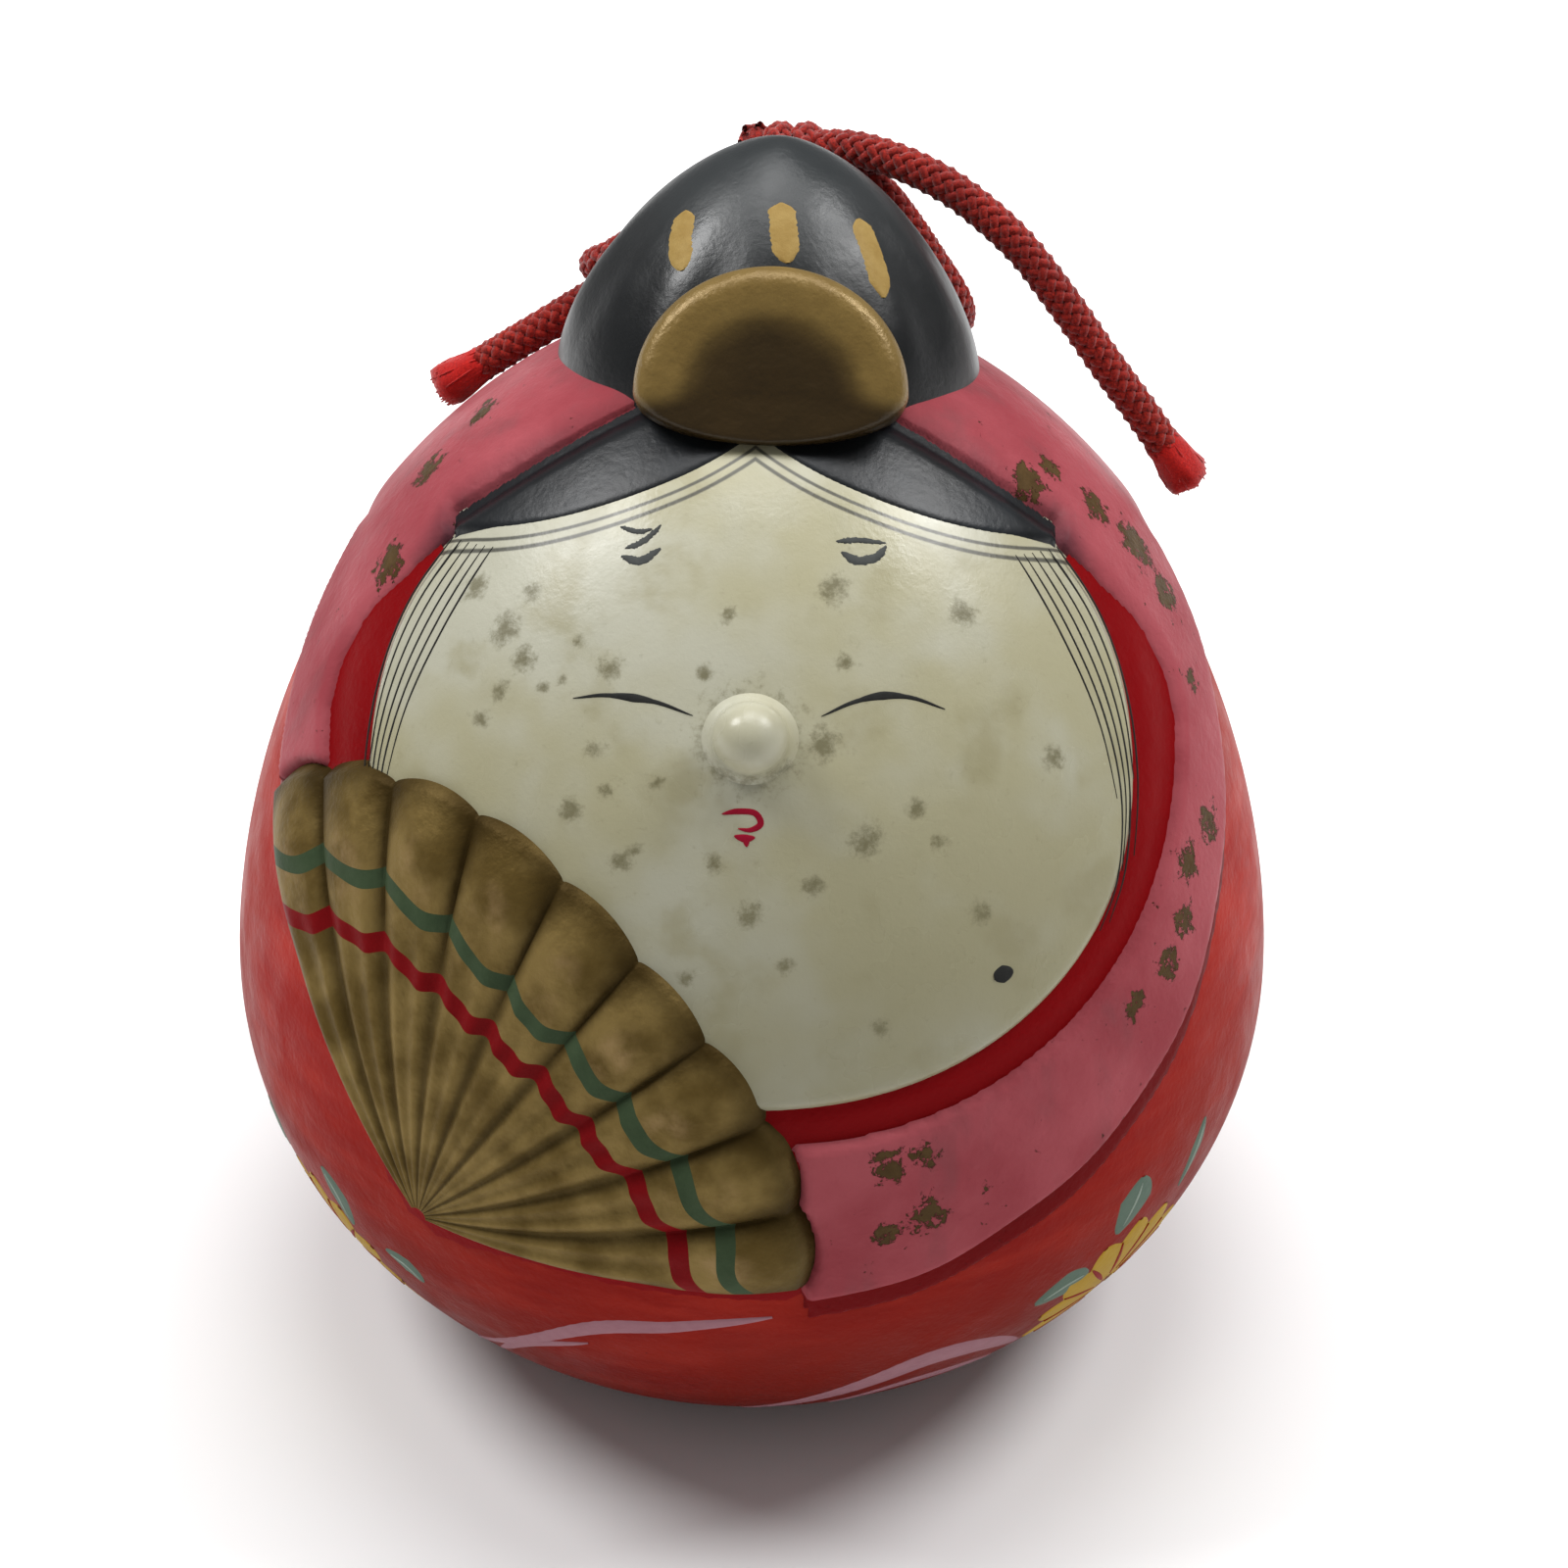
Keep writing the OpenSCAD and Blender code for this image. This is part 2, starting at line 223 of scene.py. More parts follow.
def hood_paint():
    """Pink with a dusky shade beside the hair, chips to brown clay, and a dark red edge: the side
    wall's own paint, carried out onto the body as painted shade.
    """
    paint = Paint("pink_paint", 0.4)
    clouds = paint.noise(9, 4, seed=1)
    base = paint.mix(paint.between(clouds, 0.35, 0.68), (196, 98, 106), (174, 78, 86))
    drags = paint.noise(3.2, 3, stretch=(1, 1, 3), seed=8)
    base = paint.mix(paint.between(drags, 0.5, 0.75, 0, 0.5), base, (146, 88, 92))
    dusk = paint.math("MULTIPLY", paint.between(paint.measure("hair"), 0.0, 4.5, 1, 0),
                      paint.between(paint.noise(4, seed=12), 0.3, 0.6, 0.35, 1))
    base = paint.mix(dusk, base, (74, 50, 58))
    worn = paint.ragged("worn", paint.noise(0.75, 6, 0.75, seed=21), 2.6)
    chips = paint.between(worn, 1.68, 1.76)
    clay = paint.mix(paint.noise(0.8, 3, seed=14), (70, 54, 36), (116, 92, 60))
    base = paint.mix(chips, base, clay)
    # Dark red: paint on the hood's side wall, and painted shade on the body just past the rim.
    side = paint.between(paint.measure("rim"), 0.3, 0.42, 1, 0)
    base = paint.mix(side, base, (126, 14, 18))
    normal = paint.bump(chips, -0.3, grain(paint))
    rough = paint.between(clouds, 0.3, 0.7, 0.32, 0.48)
    return paint.finish(base, rough, normal)


def lining_paint():
    """Dark red, brushed along the band."""
    paint = Paint("dark_red_paint", 0.45)
    base = paint.mix(paint.noise(4, 4, stretch=(3, 3, 1)), (136, 14, 20), (160, 26, 30))
    return paint.finish(base, None, grain(paint))


def face_paint():
    """Aged glossy cream: yellow clouds, olive spots that are old stains and painted shade by the
    nose, fine lines by the hairline, and painted shade towards the chin.
    """
    paint = Paint("face_paint", 0.34, Specular_IOR_Level=0.4)
    clouds = paint.between(paint.noise(11, 3, seed=2), 0.4, 0.62)
    base = paint.mix(clouds, (212, 210, 188), (198, 192, 156))
    smears = paint.between(paint.noise(4.5, 3, seed=4), 0.52, 0.72, 0, 0.6)
    base = paint.mix(smears, base, (176, 168, 128))
    # Olive spots: old stains, and painted shade beside and round the nose.
    stain_and_shade = paint.ragged("stain_and_shade", paint.noise(0.55, 5, 0.75, seed=31), 2.2)
    base = paint.mix(paint.between(stain_and_shade, 1.25, 2.05, 0, 0.85), base, (122, 116, 84))
    line = paint.measure("hairline")
    for middle, half in ((0.28, 0.05), (0.6, 0.06)):
        near = paint.math("ABSOLUTE", paint.math("SUBTRACT", line, middle))
        stroke = paint.between(near, half * 0.5, half * 1.6, 0.85, 0)
        base = paint.mix(stroke, base, (58, 58, 54))
    shade = paint.between(paint.height(), 0.034, 0.056, 0.5, 0)
    base = paint.mix(shade, base, (146, 140, 106))
    rough = paint.between(paint.noise(5, seed=6), 0.35, 0.65, 0.24, 0.38)
    return paint.finish(base, rough, grain(paint, 0.3, 4, 0.35))


def hair_paint():
    """Blue-black, brushed down from the parting."""
    paint = Paint("black_paint", 0.36, Specular_IOR_Level=0.3)
    strands = paint.noise(0.8, 3, stretch=(1, 4, 1), seed=2)
    base = paint.mix(strands, (13, 16, 20), (26, 30, 34))
    clouds = paint.between(paint.noise(7, 3, seed=5), 0.45, 0.7, 0, 0.4)
    base = paint.mix(clouds, base, (48, 54, 60))
    return paint.finish(base, None, grain(paint, 0.4, 3, 0.45))


def bun_paint():
    """Satin black, with a painted sheen in lighter grey over the top of its dome."""
    paint = Paint("bun_paint", 0.4, Specular_IOR_Level=0.45)
    clouds = paint.between(paint.noise(8, 4, seed=5), 0.4, 0.65, 0, 0.35)
    base = paint.mix(clouds, (12, 14, 17), (30, 34, 36))
    # Painted sheen: the top of the dome is painted lighter grey, where the light from above falls.
    dome = paint.between(paint.height(), 0.069, 0.0755, 0, 0.4)
    base = paint.mix(dome, base, (72, 78, 80))
    rough = paint.between(paint.noise(6, seed=7), 0.35, 0.65, 0.3, 0.44)
    return paint.finish(base, rough, grain(paint, 0.4, 4, 0.5))


def fan_paint():
    """Dull bronze paint, dark in its grooves, with painted highlights on its ridges."""
    paint = Paint("gold_paint", 0.45, Metallic=0.25)
    clouds = paint.between(paint.noise(4, 4, seed=1), 0.35, 0.65)
    base = paint.mix(clouds, (152, 128, 78), (110, 90, 50))
    ridge = paint.measure("ridge")
    base = paint.mix(paint.between(ridge, 0.05, 0.7, 0.8, 0), base, (52, 40, 20))
    # Painted highlights: patches of pale gold on the ridges, where light from above catches them.
    patches = paint.between(paint.noise(2, 4, seed=8), 0.4, 0.7)
    ridge_highlight = paint.math("MULTIPLY", paint.between(ridge, 0.75, 1.0, 0, 0.5), patches)
    base = paint.mix(ridge_highlight, base, (188, 156, 112))
    return paint.finish(base, None, grain(paint, 0.3, 1.6))


def comb_paint():
    """Bright gold round the rim, fading to a brown plate with worn specks; rim and plate tones are
    painted reflections of the light above and the dark room in front.
    """
    paint = Paint("comb_paint", 0.34, Metallic=0.2, Specular_IOR_Level=0.3)
    gold = paint.mix(paint.noise(2.5, 4, seed=2), (164, 136, 78), (128, 102, 54))
    # Painted reflection: the plate's dark brown stands for the dark room it mirrors, the rim's gold
    # for the light above.
    plate = paint.mix(paint.noise(5, 4, seed=3), (78, 60, 32), (52, 42, 24))
    rim = paint.ragged("rim", paint.noise(3, 3, seed=6), 0.2)
    base = paint.mix(paint.between(rim, 0.1, 0.8), plate, gold)
    specks = paint.between(paint.noise(1, 2, seed=44), 0.74, 0.77)
    base = paint.mix(specks, base, (46, 36, 22))
    return paint.finish(base, None, grain(paint, 0.3, 2))


def stroke_paint(name, light, dark, roughness=0.45):
    """A brushed mark: its paint thins and thickens along the stroke."""
    paint = Paint(name, roughness)
    base = paint.mix(paint.noise(0.9, 4, 0.6, seed=3), light, dark)
    return paint.finish(base, None, paint.bump(paint.noise(0.4, 4), 0.04))


def thread(name, light, dark):
    """Twisted threads, darker and lighter in fine noise along their fibres and in broad patches."""
    paint = Paint(name, 0.75, Sheen_Weight=0.35, Sheen_Roughness=0.5)
    fibres = paint.noise(0.12, 3, 0.7, seed=1)
    base = paint.mix(paint.between(fibres, 0.35, 0.65), light, dark)
    patches = paint.between(paint.noise(3, seed=2), 0.4, 0.65, 0, 0.4)
    base = paint.mix(patches, base, dark)
    return paint.finish(base, None, paint.bump(fibres, 0.06))


RED = body_paint()
CLAY = bare_clay()
PINK = hood_paint()
DARK_RED = lining_paint()
CREAM = face_paint()
HAIR = hair_paint()
BUN = bun_paint()
GOLD = fan_paint()
COMB = comb_paint()
CORD = thread("red_cord", (206, 50, 34), (124, 22, 18))
TUFT = thread("red_thread", (236, 40, 30), (190, 24, 22))
INK = stroke_paint("ink", (44, 44, 44), (70, 70, 68))
PALE_INK = stroke_paint("pale_ink", (104, 106, 104), (70, 72, 72))
LIP = stroke_paint("lip", (186, 40, 66), (160, 30, 50))
LEAF = stroke_paint("leaf", (120, 142, 126), (98, 118, 104))
VEIN = stroke_paint("vein", (188, 200, 188), (160, 176, 162))
YELLOW = stroke_paint("mum", (214, 176, 60), (190, 146, 48))
MUM_RED = stroke_paint("mum_lines", (172, 30, 30), (140, 24, 24))
LILAC = stroke_paint("ribbon", (190, 140, 150), (164, 112, 122))
STROKE_GOLD = stroke_paint("stroke_gold", (206, 176, 112), (160, 126, 66), 0.4)
FAN_RED = stroke_paint("fan_red", (150, 30, 34), (120, 22, 26))
FAN_GREEN = stroke_paint("fan_green", (84, 100, 74), (62, 78, 56))

# ---- Meshes ---------------------------------------------------------------------


def new_mesh(name, points, faces, materials, body="bell", stands_for=(), indices=None,
             measures=None):
    """A smooth piece from points in millimetres; measures are values kept at its points."""
    mesh = bpy.data.meshes.new(name)
    mesh.from_pydata((np.asarray(points) * MM).tolist(), [], [list(f) for f in faces])
    mesh.polygons.foreach_set("use_smooth", [True] * len(mesh.polygons))
    for material in materials:
        mesh.materials.append(material)
    if indices is not None:
        mesh.polygons.foreach_set("material_index", np.asarray(indices, np.int32))
    for key, values in (measures or {}).items():
        stored = mesh.attributes.new(key, "FLOAT", "POINT")
        stored.data.foreach_set("value", np.asarray(values, np.float32).ravel())
    mesh.validate()
    mesh.update()
    piece = bpy.data.objects.new(name, mesh)
    bpy.context.collection.objects.link(piece)
    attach(piece, body)
    if stands_for:
        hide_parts(*stands_for)
    return piece


def quads(rows, columns, closed=False):
    """Corner numbers of a grid's cells, row by row, facing out of a lathe seen from above."""
    row, column = np.meshgrid(np.arange(rows - 1), np.arange(columns - (not closed)), indexing="ij")
    here = row * columns + column
    there = row * columns + (column + 1) % columns
    return np.stack([here, there, there + columns, here + columns], -1).reshape(-1, 4)


def trimmed(points, faces, keep):
    """The faces that are kept, and only the points that they use."""
    faces = faces[keep]
    used = np.unique(faces)
    number = np.zeros(len(points), int)
    number[used] = np.arange(len(used))
    return points[used], number[faces], used


def curve(points, count):
    """A smooth line through the points, as count points."""
    p = np.asarray(points, float)
    p = np.vstack([2 * p[0] - p[1], p, 2 * p[-1] - p[-2]])
    t = np.linspace(0, len(p) - 3 - 1e-9, count)
    i = t.astype(int)
    f = (t - i)[:, None]
    a, b, c, d = p[i], p[i + 1], p[i + 2], p[i + 3]
    return 0.5 * (2 * b + (c - a) * f + (2 * a - 5 * b + 4 * c - d) * f**2
                  + (3 * b - a - 3 * c + d) * f**3)


def evenly(line, step):
    """The line again, with points step apart."""
    along = np.concatenate([[0], np.cumsum(np.linalg.norm(np.diff(line, axis=0), axis=1))])
    at = np.linspace(0, along[-1], int(along[-1] / step) + 1)
    return np.stack([np.interp(at, along, line[:, k]) for k in range(3)], -1)


def unit(v):
    """Vectors at a length of one."""
    return v / np.maximum(np.linalg.norm(v, axis=-1, keepdims=True), 1e-12)


def ring_frames(line):
    """Along, across and up directions at each point, carried without twisting."""
    along = unit(np.gradient(line, axis=0))
    across = np.zeros_like(line)
    last = np.array([0.3, 1, 0.2])
    for i, t in enumerate(along):
        last = last - (last @ t) * t
        last = last / np.linalg.norm(last)
        across[i] = last
    return along, across, np.cross(along, across)


def tube_grid(line, radius, sides, start=0):
    """Rings of a tube, with their faces and two end caps; radius may change along it."""
    _, across, up = ring_frames(line)
    turn = np.arange(sides) * 2 * math.pi / sides
    radius = np.broadcast_to(radius, len(line))[:, None, None]
    rings = line[:, None] + radius * (across[:, None] * np.cos(turn)[None, :, None]
                                      + up[:, None] * np.sin(turn)[None, :, None])
    faces = (quads(len(line), sides, True) + start).tolist()
    faces.append([start + s for s in range(sides - 1, -1, -1)])
    faces.append([start + (len(line) - 1) * sides + s for s in range(sides)])
    return rings.reshape(-1, 3), faces


# ---- Cord -------------------------------------------------------------------------

CORE_R = 0.8
WRAP_R = 1.62
WRAP_TURNS = 2.6
KNOT = np.array([1.6, 18.2, 69.1])
LUG = (1.2, 18.8, 63)
LEFT_TAIL = [(-17.6, 14.9, 56.7), (-15.3, 15.3, 58.1), (-12.3, 16, 59.8), (-9.3, 17.1, 61.5),
             (-6.5, 18.9, 63.8), (-3.8, 20, 66.4), (-0.8, 19.4, 68.6)]
RIGHT_LOOP = [(4.4, 17.6, 69.2), (7, 16.4, 68.4), (8.6, 15.8, 66.8), (10.4, 15.2, 64.3),
              (12, 15.5, 61.6), (12.4, 17.2, 59.2), (11.2, 19.4, 58.2), (8.9, 21, 58.8),
              (6.8, 21.8, 61), (5.2, 21.4, 64), (3.8, 20, 66.8)]
RING = [(-0.8, 18, 68.6), (-1.9, 18.2, 66.9), (-1.7, 18.5, 65.1), (-0.6, 18.7, 63.4),
        (1.2, 18.8, 63), (3, 18.7, 63.4), (4.1, 18.5, 65.1), (4.3, 18.2, 66.9), (3.2, 18, 68.6)]
LEFT_LOOP = [(-1, 17.4, 69.4), (-3.8, 16.5, 67.6), (-6.7, 15.7, 65.7), (-9.3, 15.6, 63.9),
             (-10.4, 17.2, 62.6), (-9.6, 19.4, 61.6), (-7.4, 21.2, 61), (-5, 22, 62),
             (-2.8, 21.6, 64.4), (-0.6, 20, 67)]
RIGHT_TAIL = [(3.8, 17.6, 70.6), (6.4, 16.2, 71), (9.6, 14.6, 70.5), (12.4, 13.4, 69.3),
              (15.7, 12, 66.9), (18.6, 10.8, 63.6), (21.3, 10, 60), (23.6, 9.5, 57),
              (25.2, 9.2, 54.8)]
# The whole cord, from the left tip to the right tip, with its passes through the knot.
CORD_ROUTE = [*LEFT_TAIL, (1.8, 18.4, 69.8), *RIGHT_LOOP, (1.4, 18.8, 69), *RING,
              (1.2, 17.8, 70), *LEFT_LOOP, (1.4, 18.8, 69.4), *RIGHT_TAIL]

# Strands in each family of the braid, the length in which one goes round, the distance
# between points along them, and each strand's place and half its thickness and width.
CARRIERS = 6
LAY = 5.1
STEP = 0.22
STRAND_OUT = 0.88
STRAND_RISE = 0.1
STRAND_T = 0.2
STRAND_W = 0.31
FRAY_THREADS = 240


def braid(line):
    """Two families of strands that cross over and under each other round a core."""
    _, across, up = ring_frames(line)
    run = np.concatenate([[0], np.cumsum(np.linalg.norm(np.diff(line, axis=0), axis=1))])
    core, faces = tube_grid(line, CORE_R, 8)
    points, count = [core], len(core)
    for hand in (1, -1):
        for n in range(CARRIERS):
            turn = 2 * math.pi * (n / CARRIERS + hand * run / LAY)
            out = across * np.cos(turn)[:, None] + up * np.sin(turn)[:, None]
            rise = hand * np.cos(2 * math.pi * CARRIERS * run / LAY)
            middle = line + out * (STRAND_OUT + STRAND_RISE * rise)[:, None]
            aside = unit(np.cross(out, np.gradient(middle, axis=0)))
            around = (np.arange(6) * math.pi / 3)[:, None]
            rings = middle[:, None] + (out[:, None] * STRAND_T * np.cos(around)
                                       + aside[:, None] * STRAND_W * np.sin(around))
            points.append(rings.reshape(-1, 3))
            faces += (quads(len(line), 6, True) + count).tolist()
            count += len(points[-1])
    return np.vstack(points), faces


def frayed_end(name, route, stands_for):
    """Cut threads that spread from the end of a tail, round a full core."""
    end, before = np.array(route[-1], float), np.array(route[-2], float)
    axis = unit(end - before)
    across = unit(np.cross(axis, [0.2, 0.3, 1]))
    up = np.cross(axis, across)
    core = [(-0.5, 0.9), (0, 1.08), (0.8, 1.2), (1.6, 1.36), (2.4, 1.45), (3, 1.3), (3.3, 0.6)]
    points, faces = tube_grid(np.array([end + axis * ahead for ahead, _ in core]),
                              np.array([radius for _, radius in core]), 20)
    points += random.normal(0, 0.07, points.shape)
    points, count = [points], len(points)
    for _ in range(FRAY_THREADS):
        turn, share = random.uniform(0, 2 * math.pi), math.sqrt(random.uniform(0.15, 1))
        out = across * math.cos(turn) + up * math.sin(turn)
        length = random.uniform(2.9, 3.6) - 0.5 * share**4
        flare = random.uniform(0.45, 0.68)
        sway = random.normal(0, 0.12, 3)
        steps = np.linspace(0, 1, 5)[:, None]
        line = (end + axis * (steps * length - 0.2) + sway * steps**2
                + out * (share * (0.98 + flare * (steps - 0.4 * steps**3))))
        ring, more = tube_grid(line, np.linspace(0.08, 0.05, 5), 4, count)
        points.append(ring)
        faces += more
        count += len(ring)
    return new_mesh(name, np.vstack(points), faces, [TUFT],
                    stands_for=[stands_for])


def wrap_route():
    """The turns of cord that hold the bow together, wound about a level axis."""
    turn = np.linspace(0, 2 * math.pi * WRAP_TURNS, 90)
    across = np.linspace(-2.1, 2.1, 90)
    return KNOT + np.stack([across, WRAP_R * np.sin(turn + 0.6), WRAP_R * np.cos(turn + 0.6)], -1)


def add_cord():
    """The braid, the turns of its knot and its two frayed ends."""
    line = evenly(curve(CORD_ROUTE, 1500), STEP)
    points, faces = braid(line)
    cord = new_mesh("cord", points, faces, [CORD],
                    stands_for=["cord_ring", "left_loop", "left_tail", "right_loop", "right_tail"])
    points, faces = braid(evenly(wrap_route(), STEP))
    knot = new_mesh("knot", points, faces, [CORD], stands_for=["cord_knot"])
    ends = [frayed_end("left_tuft", LEFT_TAIL[::-1], "left_frayed_end"),
            frayed_end("right_tuft", RIGHT_TAIL, "right_frayed_end")]


add_cord()

# ---- Shell of the bell ---------------------------------------------------------------

BODY_R = 33
BELLY_Z = 23.4
CROWN_H = 42.5
CROWN_SHARE = 0.6
CROWN_POWER = 1.75
BASE_R = 18
LOW_H = BELLY_Z / math.sqrt(1 - (BASE_R / BODY_R) ** 2)
WALL = 3.6


def turned(r, turn, z):
    """Points at a radius, turned from the front (0) towards the viewer's right, in radians."""
    return np.stack(np.broadcast_arrays(r * np.sin(turn), -r * np.cos(turn), z), -1)


def profile(angle, grow=0.0):
    """Radius and height of the shell's outline, from the base (below 0) to the crown (90)."""
    angle = np.radians(angle)
    rise = np.abs(np.sin(angle))
    high = BELLY_Z + (CROWN_H + CROWN_SHARE * grow) * rise ** (2 / CROWN_POWER)
    return (BODY_R + grow) * np.cos(angle), np.where(angle > 0, high, BELLY_Z - LOW_H * rise)


def radius_at(z, grow=0.0):
    """Radius of the shell at a height, grown outwards."""
    above = np.maximum(z - BELLY_Z, 0) / (CROWN_H + CROWN_SHARE * grow)
    below = np.maximum(BELLY_Z - z, 0) / LOW_H
    share = np.where(z > BELLY_Z, 1 - np.minimum(above, 1) ** CROWN_POWER, 1 - below**2)
    return (BODY_R + grow) * np.sqrt(np.maximum(share, 0))


def shell_points(turn, angle, grow=0.0):
    """Points of the shell; turn 0 faces the front and 90 the viewer's right."""
    r, z = profile(angle, grow)
    return turned(r, np.radians(turn), z)


def signed_distance(x, y, outline):
    """Distance of each point from a closed outline, negative inside it."""
    best, inside = np.full(x.shape, 1e9), np.zeros(x.shape, bool)
    for (ax, ay), (bx, by) in zip(outline, np.roll(outline, -1, 0)):
        ex, ey = bx - ax, by - ay
        t = np.clip(((x - ax) * ex + (y - ay) * ey) / max(ex * ex + ey * ey, 1e-12), 0, 1)
        best = np.minimum(best, np.hypot(x - ax - t * ex, y - ay - t * ey))
        if ay != by:
            inside ^= ((ay > y) != (by > y)) & (x < ax + (y - ay) / (by - ay) * ex)
    return np.where(inside, -best, best)


def rounded(distance, width):
    """0 outside an edge, then a steep wall with a round top, up to 1."""
    return np.sin(np.clip(distance / width, 0, 1) * math.pi / 2)


# ---- Outlines of the relief ----------------------------------------------------------

# A distance to something that is on the other side of the bell.
FAR = 60
HOOD_T = 1.2
LINING_T = 0.6
FACE_T = 1.1
FACE_Z = 47
FACE_W = 45
CHIN_H = 12.6
CHEEK_H = 17.5
TEMPLE = 39
TEMPLE_X = FACE_W / 2 * math.cos(math.radians(TEMPLE))
TEMPLE_Z = FACE_Z + CHEEK_H * math.sin(math.radians(TEMPLE))
PEAK_Z = 64.8
HAIR_EDGE = [(TEMPLE_X, TEMPLE_Z), (12.3, 60.2), (7.2, 62.2), (3, 63.7), (0, PEAK_Z)]
HAIR_H = 8
LINING_W = 49.4
LINING_DROP = 14.6
LINING_TOP = 56.5


def full(c, power=2.3):
    """A sine or cosine swollen, so that a circle drawn with it is nearer a square."""
    return np.sign(c) * np.abs(c) ** (2 / power)


def oval(width, height, low, high, power=2.3):
    """Part of an oval about the middle of the face, between two angles."""
    a = np.radians(np.linspace(low, high, 49))
    x, z = width / 2 * full(np.cos(a), power), height * full(np.sin(a), power)
    return np.stack([x, FACE_Z + z], -1)


def face_outline():
    """A round chin and cheeks, closed above by the edge of the hair."""
    cheek = oval(FACE_W, CHEEK_H, 0, TEMPLE, 2)[::4]
    side = np.vstack([cheek, curve(HAIR_EDGE, 14)[1:]])
    return np.vstack([oval(FACE_W, CHIN_H, 180, 360)[:-1], side, (side * [-1, 1])[-2:0:-1]])


def brow_outline():
    """The lower edge of the hair, carried on past the temples, and everything above it."""
    side = curve([(TEMPLE_X + 4, TEMPLE_Z - 2.2), *HAIR_EDGE], 17)
    return np.vstack([side, (side * [-1, 1])[-2::-1], [(-30, 90), (30, 90)]])


def hair_outline():
    """The arch over both wings of hair."""
    c = np.sin(np.linspace(-math.pi / 2, math.pi / 2, 33))
    arch = np.stack([TEMPLE_X * c, TEMPLE_Z + HAIR_H * (1 - np.abs(c) ** 1.8)], -1)
    return np.vstack([arch, [[TEMPLE_X, 55], [-TEMPLE_X, 55]]])


def lining_outline():
    """A band round the chin that narrows to nothing at the temples."""
    side = curve([(LINING_W / 2, FACE_Z), (24.1, 49), (22.5, 52.2), (20.1, 55.4), (17.5, 58)], 10)
    return np.vstack([oval(LINING_W, LINING_DROP, 180, 360)[:-1], side, side[::-1] * [-1, 1]])


FACE = face_outline()
HAIR_ARCH = hair_outline()
LINING = lining_outline()
BROW = brow_outline()

# The fan lies in a plane turned to the viewer's left, its pivot at FAN_X, FAN_Z in that plane.
FAN_SIDE = math.radians(-30)
FAN_X = -2.2
FAN_Z = 23.5
FAN_R = 24.4
FAN_FADE = 2.6
FOLDS = 9
FAN_OPEN = 137
FAN_LEAN = 23.5
FAN_LOW, FAN_HIGH = FAN_LEAN - FAN_OPEN / 2, FAN_LEAN + FAN_OPEN / 2
FAN_SKIRT = 9
SCALLOP = 0.5


def eased(t):
    """0 to 1 with a soft start and end."""
    t = np.clip(t, 0, 1)
    return t * t * (3 - 2 * t)


def fan_plane(points):
    """Across, height and depth of points in the fan's plane."""
    x, y, z = np.moveaxis(points, -1, 0)
    across = x * math.cos(FAN_SIDE) + y * math.sin(FAN_SIDE)
    return across, z, x * math.sin(FAN_SIDE) - y * math.cos(FAN_SIDE)


def fan_edge(angle):
    """Radius of the scalloped edge, which shrinks over the middle of the fan."""
    fold = (angle - FAN_LOW) / FAN_OPEN * FOLDS
    return (FAN_R - FAN_FADE * eased((angle + 10) / 55)
            + SCALLOP * np.abs(np.sin(math.pi * fold)) ** 0.7)


def under_fan_outline():
    """The fan and the part below it, where the hood leaves the body bare."""
    a = np.linspace(FAN_LOW, FAN_HIGH, 73)
    r = fan_edge(a)
    edge = np.stack([FAN_X + r * np.sin(np.radians(a)), FAN_Z + r * np.cos(np.radians(a))], -1)
    drop = [0, -FAN_SKIRT]
    return np.vstack([[[FAN_X, FAN_Z - FAN_SKIRT]], edge[:1] + drop, edge, edge[-1:] + drop])


# ---- Relief pieces -------------------------------------------------------------------


def sheet_grid(low_turn, high_turn, low_angle, high_angle, step):
    """Turns and profile angles of a grid whose cells are about step millimetres."""
    columns = int(math.radians(high_turn - low_turn) * BODY_R / step) + 1
    rows = int(math.radians(high_angle - low_angle) * 38 / step) + 1
    angle, turn = np.meshgrid(np.linspace(low_angle, high_angle, rows),
                              np.linspace(low_turn, high_turn, columns), indexing="ij")
    return turn, angle


def relief(name, turn, angle, lift, shown, materials, stands_for, measures=None):
    """A raised skin of the shell; shown says at which points it is needed."""
    points = shell_points(turn, angle, lift).reshape(-1, 3)
    faces = quads(*turn.shape)
    keep = shown.ravel()[faces].any(1)
    points, faces, used = trimmed(points, faces, keep)
    kept = {key: np.asarray(value).ravel()[used] for key, value in (measures or {}).items()}
    return new_mesh(name, points, faces, materials, stands_for=stands_for, measures=kept)


# The hood's lower rim lies in a plane that tilts up towards the back, to BACK_RIM_Z.
RIM_TILT = math.radians(39.7)
RIM_Z = 21.3
RIM_Y = -33.6
BACK_RIM_Z = 52
# Width of the band of painted shade on the body past the hood's rim.
SHADE_BAND_W = 1.7
# Chips in the hood's paint: turn, height and size.
CHIPS = [(71, 60.3, 2), (80, 59.8, 1.6), (82, 57.2, 2), (84, 54.4, 2.6), (82, 51.8, 2.2),
         (74, 48, 1.5), (57, 41.2, 1.9), (54, 38.3, 1.7), (50, 36.6, 1.8), (44, 35.7, 1.5),
         (64, 41.8, 1.8), (45, 31.5, 0.8), (41, 29.7, 1), (38, 28.3, 0.8), (14, 31, 1.9),
         (18, 31.3, 1.5), (14, 26.6, 1.6), (18, 27.4, 2), (24, 28.4, 1), (-73, 54.7, 2.2),
         (-87, 57.9, 2), (-95, 60.7, 1.8), (-78, 50.5, 0.8), (-76, 48.8, 0.8), (130, 56, 2.4),
         (200, 58, 2.2), (160, 62, 1.8), (235, 55, 2)]
